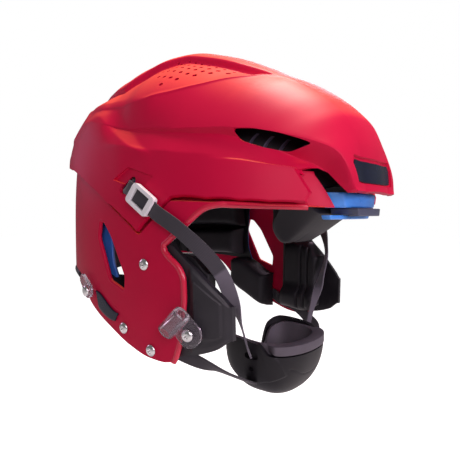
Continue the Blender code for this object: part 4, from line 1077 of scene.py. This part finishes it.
def build_pads():
    for pad, part in (
            (cushion("pad_rear", band_place(UPPER, (139.0, 221.0), (-33.0, 36.0)), PAD_DEPTH, 22.0, (60, 30),
                     (-0.33, 0.33)), "rear_pad"),
            (cushion("pad_crown", both_sides(fan_place((64.0, 120.0), (0.0, 22.0))), PAD_DEPTH, 20.0,
                     (48, 49), (0.0,)), "crown_pad"),
            (cushion("pad_front", front_pad_place, 0.0, FRONT_PAD_THICK, (90, 30),
                     (-0.3, 0.3)), "front_pad")):
        dress(pad, "pad_black", nodes=[part])
    pairs = [
        ("upper_side_pad", band_place(UPPER, (90.5, 136.0), (1.0, 38.0)), PAD_DEPTH, 20.0, ()),
        ("lower_side_pad", band_place(UPPER, (92.0, 136.0), (-31.0, -1.0)), PAD_DEPTH, 20.0, ()),
        ("crown_side_pad", fan_place((62.0, 116.0), (25.0, 41.0)), PAD_DEPTH, 18.0, ()),
        ("nape_pad", side_place(LOWER, (-58.0, -8.5), NAPE_PAD_BOTTOM, NAPE_PAD_TOP), 6.0, 21.0, ()),
        ("jaw_pad", jaw_pad_place, 9.6, 15.0, (0.1, 0.5)),
    ]
    for part, place, depth, thickness, grooves in pairs:
        pad = cushion("cushion_" + part, place, depth, thickness, (36, 28), grooves)
        dress_pair(pad, "pad_black", part)


# Jaw guards, clips and other fittings

JAW_TOP = Curve([(4, -9), (27, -5.5), (46, -19), (71, -43), (77, -49)])
JAW_BOTTOM = Curve([(4, -84), (35, -87.5), (45, -86.5), (64, -81), (77, -73)])


def build_jaw_guards():
    places = np.concatenate([np.linspace(4, 46, 20)[:-1], np.linspace(46, 77, 40)])
    x, v = np.meshgrid(places, np.linspace(-1, 1, 60), indexing="ij")
    z = between(JAW_BOTTOM(x), JAW_TOP(x), v)
    exposed = ease(x, 46.0, 50.0)
    edge = ease(1 - np.abs(v), 0.0, 0.16) * (1 - ease(x, 72.0, 77.0))
    panel = ease(1 - np.abs(v - 0.05), 0.3, 0.36) * ease(x, 50.0, 51.5) * (1 - ease(x, 70.0, 71.5))
    outer_lift = -WALL - GAP - 0.5 + exposed * (edge * 1.4 + panel * 0.8)
    outer = grown_each(LOWER, -outer_lift, lambda f: f.side_point(x, z))
    inner = LOWER.grown(-WALL - GAP - 4.0).side_point(x, z)
    guard = slab_piece("jaw_guard_moulding", outer, inner)
    on, normal = clip_seat()
    boss = stand(turned("clip_boss", [(8.2, -6.0), (8.2, -0.6), (7.6, -0.2)], 40), on, *axes_about(normal))
    cut(guard, boss, 'UNION')
    smooth(guard, 30.0)
    dress_pair(guard, "hard_black", "jaw_guard")


def clip_seat():
    on = LOWER.side_point(*CLIP_SCREW)
    return on, LOWER.normal(on)


def clip_axes():
    """Along the tube, along the tab away from the tube, and out."""
    level, rise, normal = axes_about(clip_seat()[1])
    forward = -level if level[0] < 0 else level
    tilt = math.radians(CLIP_TILT)
    tube = math.cos(tilt) * forward + math.sin(tilt) * rise
    tab = math.sin(tilt) * forward - math.cos(tilt) * rise
    return tube, tab, normal


def build_mask_clips():
    on, _ = clip_seat()
    tube, tab, normal = clip_axes()
    half = TUBE_LENGTH / 2
    profile = []
    for angle in np.radians(np.linspace(-70, 250, 28)):
        profile.append((-CLIP_REACH + TUBE_OUTER * math.cos(angle),
                        TUBE_HEIGHT + TUBE_OUTER * math.sin(angle)))
    profile = [(9.4, 4.4), *profile, (9.4, 0.5)]
    outline = [on + tab * a + normal * h - tube * half for a, h in profile]
    clip = outline_block("clear_mask_clip", outline, tube * 2 * half)
    plan = [(-30.0, -half), (0.0, -half)]
    plan += [(half * math.cos(a), half * math.sin(a)) for a in np.linspace(-math.pi / 2, math.pi / 2, 24)]
    plan += [(0.0, half), (-30.0, half)]
    shape = outline_block("tab_shape", [on + tab * a + tube * b - normal * 4 for a, b in plan], normal * 30)
    cut(clip, shape, 'INTERSECT')
    bore_place = on - tab * CLIP_REACH + normal * TUBE_HEIGHT
    bore = turned("clip_bore", [(TUBE_INNER, -20), (TUBE_INNER, 20)], 36)
    cut(clip, stand(bore, bore_place, tab, np.cross(tube, tab), tube))
    cut(clip, stand(turned("tab_hole", [(2.6, -5), (2.6, 12)], 24), on, tab, tube, normal))
    bevel(clip, 0.5, 2, 40.0)
    smooth(clip, 32.0)
    dress_pair(clip, "clear_plastic", "mask_clip", "mask_clip")


def screw(name, seat):
    """A domed screw with a six-lobed recess, its head resting at the seat height."""
    head = SCREW_HEAD / 2
    profile = [(2.2, -2.8), (2.2, seat), (head, seat), (head, seat + 0.5), (head * 0.93, seat + 1.0),
               (head * 0.78, seat + 1.55), (head * 0.5, seat + 2.0), (head * 0.2, seat + 2.15)]
    body = turned(name, profile, 36)
    lobes = []
    for angle in np.linspace(0, 2 * math.pi, 48, endpoint=False):
        radius = 1.75 + 0.35 * math.cos(6 * angle)
        lobes.append((radius * math.cos(angle), radius * math.sin(angle), seat + 0.7))
    cut(body, outline_block("recess", lobes, (0, 0, 5)))
    return smooth(body, 40.0)


def build_screws():
    for i, (x, z) in enumerate(SHELL_SCREWS, 1):
        on = LOWER.side_point(x, z)
        piece = stand(screw(f"screw_{i}", 0.35), on, *axes_about(LOWER.normal(on)))
        for side, one in pair_of(piece).items():
            dress(one, "chrome", nodes=[f"shell_screw_{side}_{i}"])
    on, normal = clip_seat()
    piece = stand(screw("screw_of_clip", 4.7), on, *axes_about(normal))
    dress_pair(piece, "chrome", "clip_screw")


def build_rear_hardware():
    low = Curve([(-51, -49.5), (-46, -62.5), (-24.5, -69.5), (-20, -64)])
    high = Curve([(-51, -48), (-20, -62.6)])
    x, v = np.meshgrid(np.linspace(-51, -20, 24), np.linspace(-1, 1, 8), indexing="ij")
    z = between(low(x), high(x), v)
    plate = slab_piece("side_plate_moulding", LOWER.grown(1.3).side_point(x, z),
                       LOWER.grown(0.3).side_point(x, z))
    bevel(plate, 0.3, 2)
    dress_pair(smooth(plate), "plate_dark", "side_plate")
    on = LOWER.side_point(*POST_PLACE)
    level, rise, normal = axes_about(LOWER.normal(on))
    profile = [(3.0, 0.35), (3.0, 4.9), (4.6, 4.9), (4.6, 5.9), (4.2, 6.6), (3.2, 7.1), (1.4, 7.3)]
    post = turned("post_turned", profile, 32)
    dress_pair(smooth(stand(post, on, level, rise, normal)), "chrome", "strap_post")
    back = level if level[0] < 0 else -level
    along = unit(0.75 * back + 0.66 * rise)
    aside = np.cross(normal, along)
    outline = []
    for centre, radius, start in ((13.0, 4.5, -90), (0.0, 6.5, 90)):
        for angle in np.radians(np.linspace(start, start + 180, 16)):
            outline.append(on + along * (centre + radius * math.cos(angle))
                           + aside * radius * math.sin(angle) + normal * 1.6)
    clip = outline_block("clear_strap_clip", outline, normal * 2.8)
    cut(clip, stand(turned("post_hole", [(3.4, -5), (3.4, 10)], 32), on, level, rise, normal))
    bevel(clip, 0.6, 3)
    dress_pair(smooth(clip), "clear_plastic", "strap_clip", "strap_clip")
    azimuth = np.linspace(131.2, 180, 60)
    bottom = BOTTOM(azimuth)
    lips = ((0.0, GAP), (0.8, 2.0), (1.0, 3.5), (0.6, 5.2), (0.0, 6.0))
    right = np.stack([LOWER.grown(out).band_point(azimuth, bottom - drop) for out, drop in lips], 1)
    bumper = grid_piece("nape_edge_bumper", np.concatenate([right, mirror(right[-2::-1])], 0))
    thicken(bumper, lambda p: -WALL * LOWER.normal(p))
    dress(smooth(bumper), "hard_black", nodes=["nape_bumper"])


def build_front_stack():
    (low_half, low_z), (high_half, high_z) = ARM_END

    def arm_half(z):
        return low_half + (high_half - low_half) * (z - low_z) / (high_z - low_z) - 2.6

    def layer(name, part, heights, front, halves, bow, colour, round_by, steps=(), taper=1.0):
        """A slab with a bowed, tapered front; steps are (place, height) pairs along its lower face."""
        t = np.linspace(-1, 1, 25)
        grids = []
        for z, half, lower in zip(heights, halves, (True, False)):
            path = [(STACK_BACK, z), *((x, low if lower else z) for x, low in steps)]
            columns = [np.stack([np.full_like(t, x), t * half, np.full_like(t, h)], -1) for x, h in path]
            height = np.full_like(t, path[-1][1])
            columns.append(np.stack([front - bow * t * t, t * half * taper, height], -1))
            grids.append(np.stack(columns, 1))
        piece = slab_piece(name, *grids)
        bevel(piece, round_by, 3)
        dress(smooth(piece), colour, nodes=[part])

    layer("front_block", "front_bumper", BLOCK_Z, BLOCK_FRONT, [arm_half(z) for z in BLOCK_Z], 4.0,
          "cap_blue", 1.5, taper=0.8)
    lip_place, lip_low = TONGUE_LIP
    layer("bracket_tongue", "mask_bracket", TONGUE_Z, TONGUE_FRONT, (21.0, 22.5), 3.0, "tongue_grey", 1.2,
          [(lip_place, TONGUE_Z[0]), (lip_place + 0.6, lip_low)])
    layer("shelf_blade", "front_shelf", SHELF_Z, SHELF_FRONT, (36.0, 38.0), 4.5, "cap_blue", 0.8)
    plate = badge_block("badge_bare_plate", **BADGE_PLATE)
    dress(smooth(plate), "plate_dark", nodes=["badge_plate"])


# Depths of the vent's insert and of its ribs below the shell's form, and the ribs' places
INSERT_DEPTHS = (12.8, 14.4)
RIB_DEPTHS = (10.4, 12.7)
RIB_PLACES = (78.5, 87.5, 96.5, 105.5)
RIB_THICK = 0.6
RIB_BOW = 3.0


def build_vent_grilles():
    low = Curve([(66, 66), (84, 58.5), (108, 52), (117, 52)])
    high = Curve([(66, 78), (93, 73), (108, 68), (117, 62)])

    def patch(depth, xs, bottom, top, steps, bow=0.0):
        x, v = np.meshgrid(xs, np.linspace(-1, 1, steps), indexing="ij")
        return UPPER.grown(-depth).side_point(x + bow * (0.5 + 0.5 * v) ** 2, between(bottom(x), top(x), v))
    xs = np.linspace(66, 117, 30)
    insert = slab_piece("vent_insert", *(patch(depth, xs, low, high, 16) for depth in INSERT_DEPTHS))
    dress_pair(smooth(insert), "vent_dark", "vent_grille")
    rib_low = Curve([(66, 68), (84, 60.5), (108, 54)])
    rib_high = Curve([(66, 74), (93, 69.0), (108, 64), (117, 60)])
    ribs = []
    for x in RIB_PLACES:
        sides = (x - RIB_THICK / 2, x + RIB_THICK / 2)
        faces = [patch(depth, sides, rib_low, rib_high, 12, RIB_BOW) for depth in RIB_DEPTHS]
        ribs.append(slab_piece("rib", *faces))
    dress_pair(smooth(join("vent_ribs", ribs)), "vent_rib", None)


# Webbing, buckles and chin cup


def buckle_frame():
    """Middle of the right buckle on its strap, and the ways ahead along the strap, aside and out."""
    over = UPPER.grown(STRAP_RISE)
    middle = over.side_point(12.7, 25.2)
    ahead = unit(over.side_point(16.7, 22.5) - over.side_point(8.7, 27.9))
    normal = UPPER.normal(middle)
    normal = unit(normal - ahead * normal.dot(ahead))
    return middle, ahead, np.cross(normal, ahead), normal


def smooth_route(points, per_span):
    """Points along a centripetal Catmull-Rom curve through the route."""
    pts = [2 * points[0] - points[1], *points, 2 * points[-1] - points[-2]]
    route = []
    for i in range(1, len(pts) - 2):
        near = pts[i - 1:i + 3]
        knots = np.cumsum([0.0, *(np.linalg.norm(q - p) ** 0.5 for p, q in zip(near, near[1:]))])
        for k in range(per_span):
            t = knots[1] + (knots[2] - knots[1]) * k / per_span
            level = near
            for step in (1, 2, 3):
                blended = []
                for j in range(4 - step):
                    low, high = (j, j + step) if step < 3 else (1, 2)
                    share = (t - knots[low]) / (knots[high] - knots[low])
                    blended.append(level[j] + (level[j + 1] - level[j]) * share)
                level = blended
            route.append(level[0])
    return np.array([*route, points[-1]])


def strap_piece(name, route, facing, width, thick=STRAP_THICK):
    """Flat webbing swept along a route; facing gives the way its outer face looks at each point."""
    ahead = unit(np.gradient(route, axis=0))
    wide = unit(np.cross(facing, ahead)) * width[:, None] / 2
    across = np.linspace(-1, 1, 9)
    sheet = route[:, None] + wide[:, None] * across[:, None]
    thin = unit(np.cross(ahead, wide)) * thick / 2
    piece = slab_piece(name, sheet + thin[:, None], sheet - thin[:, None])
    bevel(piece, 0.45, 2, 60.0)
    return smooth(piece, 50.0)


def blend_to(start, end, share):
    return unit(start + (end - start) * share[:, None])


# Spans of the upper strap's route where it leaves the shell, where it gathers for the cup, and its paler run,
# which is painted light
STRAP_LEAVES = (7.0, 8.0)
STRAP_GATHERS = (8.6, 10.2)
STRAP_PAINTED_LIGHT_FROM = 8.1


def build_straps():
    middle, ahead, _, _ = buckle_frame()
    per_span = 14
    upper = smooth_route([
        UPPER.grown(-WALL - 5.0).side_point(-12.5, 41.0), UPPER.grown(-WALL - 2.2).side_point(-8.6, 38.4),
        UPPER.grown(-WALL / 2).side_point(*TEMPLE_SLOT), UPPER.grown(1.6).side_point(-4.6, 35.6),
        middle - ahead * 14.5, middle + ahead * 9.0, middle + ahead * 17.0,
        LOWER.grown(2.4).side_point(46, 3), np.array((62.5, -87.5, -23.5)), np.array((64.0, -71.0, -50.0)),
        np.array((62.5, -56.0, -76.0)), np.array((62.2, -48.6, -92.0)),
        np.array((62.0, -45.0, -97.2))], per_span)
    k = np.arange(len(upper)) / per_span
    facing = blend_to(UPPER.normal(upper), np.array((0.45, -0.78, 0.43)), ease(k, *STRAP_LEAVES))
    facing = blend_to(facing, -np.array((0.75, 0.62, 0.2)), ease(k, *STRAP_GATHERS))
    width = STRAP_WIDTH + (STRAP_GATHERED - STRAP_WIDTH) * ease(k, *STRAP_GATHERS)
    strap = strap_piece("webbing_upper", upper, facing, width)
    away = coordinates(strap)[:, None] / MM - upper
    # Mark the painted light on the strap's lower run
    mark(strap, k[np.argmin((away ** 2).sum(-1), 1)] > STRAP_PAINTED_LIGHT_FROM)
    for piece in dress_straps(strap, "upper_strap"):
        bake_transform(piece)
    inside = LOWER.grown(-WALL - GAP - STRAP_THICK / 2 - 0.1)
    deeper = LOWER.grown(-WALL - 5.4 - STRAP_THICK / 2)
    lower = smooth_route([
        inside.side_point(-22, -69.5), inside.side_point(-14, -73.5), inside.side_point(-8, -76.0),
        deeper.side_point(1.5, -79.0), deeper.side_point(22, -84.5), np.array((40.0, -89.0, -92.5)),
        np.array((54.0, -79.0, -99.5)), np.array((55.0, -58.0, -110.5)),
        np.array((57.0, -36.8, -121.5))], per_span)
    k = np.arange(len(lower)) / per_span
    facing = blend_to(LOWER.normal(lower), np.array((0.0, -0.45, -0.89)), ease(k, 4.6, 6.8))
    strap = strap_piece("webbing_lower", lower, facing, STRAP_WIDTH + 0.0 * k)
    for piece in dress_straps(strap, "lower_strap"):
        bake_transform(piece)


def dress_straps(piece, part):
    """Straps bend between two bodies, so they ride on none alone."""
    pair = pair_of(piece)
    for side, one in pair.items():
        one.data.materials.clear()
        one.data.materials.append(FINISH["webbing_grey"])
        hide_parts(f"{part}_{side}")
    return pair.values()


def build_buckles():
    length, width, height = BUCKLE_SIZE
    middle, ahead, aside, normal = buckle_frame()

    def block(name, size, lift):
        a, b, c = size
        corners = [(-a / 2, -b / 2), (a / 2, -b / 2), (a / 2, b / 2), (-a / 2, b / 2)]
        if name == "ladder_buckle":
            corners = rounded(corners, 3.2)
        outline = [middle + ahead * i + aside * j + normal * (lift - c / 2) for i, j in corners]
        return outline_block(name, outline, normal * c)
    buckle = block("ladder_buckle", (length, width, height), 1.05)
    cut(buckle, block("channel", (length + 2, STRAP_WIDTH + 1.0, STRAP_THICK + 1.0), 0.1))
    cut(buckle, block("window", (length - 9, STRAP_WIDTH - 0.5, height * 3), 0.0))
    bevel(buckle, 0.7, 3)
    dress_pair(smooth(buckle, 40.0), "buckle_white", "buckle", "buckle")


# Heights round the cup by degrees from straight ahead: low in front, high at the wings, low at the throat
CUP_RIM = Curve([(0, -97), (56, -96.5), (68, -95), (79, -87), (95, -84.5), (120, -83), (135, -88),
                 (150, -110), (180, -117)])
LINER_RIM = Curve([(0, -88.5), (60, -88), (80, -87.5), (110, -86.5), (132, -91), (150, -109), (180, -115)])


def liner_lip_low(off):
    """Where the liner leaves the cup and its lip begins."""
    return np.minimum(CUP_RIM(off) + 1.0, LINER_RIM(off) - 3.0)


def lip_share(off):
    """1 where the liner's lip lies over the cup's rim, 0 where the wings stand outside it."""
    return 1.0 - ease(off, 62.0, 72.0)


def lip_under(off):
    low, share = liner_lip_low(off), lip_share(off)
    return low + 0.3 * share + 0.35 * (LINER_RIM(off) - low) * (1 - share)


def bowl_points(angle, t, inset, rim):
    """On a bowl at t from its bottom to its rim; rim and inset go by degrees off ahead."""
    ahead, aside = np.cos(np.radians(angle)), np.sin(np.radians(angle))
    off = np.abs((angle + 180) % 360 - 180)
    front = ahead > 0
    by = inset(off)
    reach = np.where(front, CUP_REACH["front"], CUP_REACH["back"]) - by
    side, down = CUP_REACH["side"] - by, CUP_REACH["down"] - by
    full = np.where(front, CUP_FULLNESS["front"], CUP_FULLNESS["back"])
    flat = ((np.abs(ahead) / reach) ** full + (np.abs(aside) / side) ** full) ** (-1 / full)
    top = rim(off) - CUP_CENTRE[2]
    turn = t * np.where(top >= 0, math.pi / 2, np.arccos(np.clip(-top / down, 0.0, 1.0)))
    rise = -down * np.cos(turn) + np.maximum(top, 0.0) * t ** 4
    radius = flat * np.sin(turn) ** (2 / CUP_FULLNESS["profile"])
    return CUP_CENTRE + np.stack([radius * ahead, radius * aside, rise], -1)


def bowl_piece(name, rings):
    """A chin bowl with a closed bottom: rings of (t, inset, rim) up its outside and down its inside."""
    angle = np.linspace(0, 360, 288, endpoint=False)
    grid = np.stack([bowl_points(angle, t, inset, rim) for t, inset, rim in rings], 1)
    bowl = grid_piece(name, grid, loop=True)

    def close():
        bpy.ops.mesh.select_all(action='DESELECT')
        bpy.ops.mesh.select_non_manifold()
        bpy.ops.mesh.edge_collapse()
        bpy.ops.mesh.select_all(action='SELECT')
    return in_edit(bowl, close, outward)


# The cup's raised side panel and the groove across its front: degrees off ahead, share of the way to the rim
CUP_PANEL = [(64, 1.03), (57, 0.94), (49, 0.755), (60, 0.695), (71, 0.625), (83, 0.56), (113, 0.555),
             (125.5, 0.69), (126.5, 0.755), (123.5, 0.88), (121.0, 1.03)]
CUP_GROOVE = Curve([(0, 0.70), (20, 0.72), (46, 0.83)])
CUP_PROUD = 1.1
GROOVE_HALF, CUP_GROOVE_DEPTH = 1.2, 0.5
CUP_MM = np.array((0.72, 68.0))      # millimetres on the cup for a degree, and for the way to the rim


def cup_relief(off, t):
    """How far the cup's outside stands proud of the plain bowl."""
    point = np.stack([off, t + 0.0 * off], -1) * CUP_MM
    corners = np.array(CUP_PANEL) * CUP_MM
    away, inside = np.full(off.shape, 1e9), np.zeros(off.shape, bool)
    for a, b in zip(corners, np.roll(corners, -1, 0)):
        along = np.clip(((point - a) @ (b - a)) / ((b - a) @ (b - a)), 0.0, 1.0)
        away = np.minimum(away, np.linalg.norm(point - a - along[:, None] * (b - a), axis=1))
        crosses = (a[1] > point[:, 1]) != (b[1] > point[:, 1])
        reach = a[0] + (point[:, 1] - a[1]) * (b[0] - a[0]) / (b[1] - a[1] if b[1] != a[1] else 1.0)
        inside ^= crosses & (point[:, 0] < reach)
    panel = ease(np.where(inside, away, -away), -0.5, 0.9)
    groove = np.maximum(1 - np.abs(t - CUP_GROOVE(off)) * CUP_MM[1] / GROOVE_HALF, 0.0)
    return CUP_PROUD * panel - CUP_GROOVE_DEPTH * groove * (1 - ease(off, 44.0, 48.0))


def build_chin_cup():
    up = np.concatenate([[0.004], np.linspace(0.04, 0.5, 16)[:-1], np.linspace(0.5, 1, 40)])

    def evenly(value):
        return lambda off: value + 0.0 * off
    inside = evenly(CUP_WALL)
    back, face = evenly(CUP_WALL + LINER_GAP), evenly(CUP_WALL + LINER_GAP + LINER_WALL)

    def lip(off):
        return back(off) - (back(off) + LIP_PROUD) * lip_share(off)
    outer = [(t, (lambda off, t=t: -cup_relief(off, t)), CUP_RIM) for t in up]
    cup = bowl_piece("cup_shell", outer + [(t, inside, CUP_RIM) for t in up[::-1]])
    cutters = []
    for turn in TO_SIDES:
        normal = turn(np.array((0.0, -1.0, 0.0)))
        cutters.append(slot_block("cup_slot", turn(np.array(CUP_SLOT)), normal, np.array((1.0, 0.0, 0.0)),
                                  *CUP_SLOT_SIZE, 2.6))
        hole = turned("cup_hole", [(2.2, -3.0), (2.2, 6.0)], 24)
        cutters.append(stand(hole, turn(np.array(CUP_HOLE)), *axes_about(normal)))
    cut(cup, join("cup_cutters", cutters))
    dress(smooth(cup, 30.0), "cup_black", "chin_cup", ["chin_cup"])
    rings = [(t, back, liner_lip_low) for t in up] + [(1.0, lip, lip_under), (1.0, lip, LINER_RIM)]
    liner = bowl_piece("cup_soft_liner", rings + [(t, face, LINER_RIM) for t in up[::-1]])
    bevel(liner, 1.0, 3, 50.0)
    dress(smooth(liner, 50.0), "liner_grey", "chin_cup", ["chin_cup_liner"])


# Stage


def build_stage():
    bpy.ops.object.select_all(action='DESELECT')
    bpy.ops.mesh.primitive_plane_add(size=12.0, location=(0, 0, FLOOR_Z))
    floor = bpy.context.object
    floor.name = "floor"
    material = bpy.data.materials.new("pale_floor")
    material.use_nodes = True
    tree = material.node_tree
    shader = tree.nodes["Principled BSDF"]
    shader.inputs["Base Color"].default_value = (0.55, 0.55, 0.56, 1.0)
    shader.inputs["Roughness"].default_value = 0.9
    rays = node(tree, 'ShaderNodeLightPath')
    mirrored = node(tree, 'ShaderNodeMath', operation='MULTIPLY')
    mirrored.inputs[1].default_value = FLOOR_IN_GLOSS
    tree.links.new(rays.outputs["Is Glossy Ray"], mirrored.inputs[0])
    strength = node(tree, 'ShaderNodeMath', operation='MULTIPLY_ADD')
    strength.inputs[1].default_value = FLOOR_GLOW
    tree.links.new(rays.outputs["Is Camera Ray"], strength.inputs[0])
    tree.links.new(mirrored.outputs["Value"], strength.inputs[2])
    shader.inputs["Emission Color"].default_value = (1.0, 1.0, 1.0, 1.0)
    tree.links.new(strength.outputs["Value"], shader.inputs["Emission Strength"])
    floor.data.materials.append(material)


def build_world():
    """White behind the object and through clear parts, and a low even fill on it and in its reflections."""
    world = bpy.data.worlds.new("studio")
    bpy.context.scene.world = world
    world.use_nodes = True
    tree = world.node_tree
    background = tree.nodes["Background"]
    background.inputs["Color"].default_value = (1.0, 1.0, 1.0, 1.0)
    rays = node(tree, 'ShaderNodeLightPath')
    seen = node(tree, 'ShaderNodeMath', operation='MAXIMUM')
    tree.links.new(rays.outputs["Is Camera Ray"], seen.inputs[0])
    tree.links.new(rays.outputs["Is Transmission Ray"], seen.inputs[1])
    level = node(tree, 'ShaderNodeMapRange')
    level.inputs["To Min"].default_value = WORLD_FILL
    level.inputs["To Max"].default_value = 1.0
    tree.links.new(seen.outputs["Value"], level.inputs["Value"])
    tree.links.new(level.outputs["Result"], background.inputs["Strength"])


def area_light(name, place, energy, size, colour, target=(0.0, 0.0, 0.02)):
    light = bpy.data.lights.new(name, 'AREA')
    light.energy, light.size, light.color = energy, size, colour
    lamp = bpy.data.objects.new(name, light)
    lamp.location = place
    lamp.rotation_euler = (Vector(target) - Vector(place)).to_track_quat('-Z', 'Y').to_euler()
    bpy.context.scene.collection.objects.link(lamp)


# Lamps: place in metres, power, size in metres and colour
LAMPS = {
    "key_above": ((0.12, 0.22, 1.02), 14.5, 0.4, (1.0, 0.88, 0.78)),
    "front_fill": ((1.1, 0.0, 0.30), 4.6, 0.4, (1.0, 0.82, 0.98)),
    "right_fill": ((0.75, -0.70, 0.40), 3.8, 0.6, (1.0, 0.86, 0.94)),
    "rim_side": ((-0.9, -0.30, 0.30), 0.8, 0.4, (1.0, 0.60, 0.95)),
    "rim_behind": ((-0.4, 0.9, 0.5), 4.0, 0.5, (1.0, 0.75, 0.95)),
}


def build_lights():
    for name, (place, energy, size, colour) in LAMPS.items():
        area_light(name, place, energy, size, colour)


def build_camera():
    camera = bpy.data.cameras.new("camera")
    camera.lens, camera.sensor_width = 36.0, 36.0
    camera.shift_x = VIEW_SHIFT
    camera.clip_start = 0.01
    view = bpy.data.objects.new("camera", camera)
    a, e = math.radians(VIEW_AZIMUTH), math.radians(VIEW_ELEVATION)
    place = Vector((math.sin(a) * math.cos(e), -math.cos(a) * math.cos(e), math.sin(e))) * VIEW_DISTANCE
    view.location = place
    view.rotation_euler = (-place).to_track_quat('-Z', 'Y').to_euler()
    bpy.context.scene.collection.objects.link(view)
    bpy.context.scene.camera = view


def dress_hidden_nodes():
    """CAD nodes that stay as they are get the same finishes."""
    for name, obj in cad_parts.items():
        if name.startswith("standoff"):
            obj.data.materials.clear()
            obj.data.materials.append(FINISH["cap_blue"])


def build():
    bpy.context.scene.view_settings.view_transform = 'Standard'
    build_camera()
    build_stage()
    build_world()
    build_lights()
    build_upper_shell()
    build_lower_shell()
    build_face_lip()
    build_inner_cap()
    build_pads()
    build_jaw_guards()
    build_mask_clips()
    build_screws()
    build_rear_hardware()
    build_front_stack()
    build_vent_grilles()
    build_straps()
    build_buckles()
    build_chin_cup()
    dress_hidden_nodes()


build()
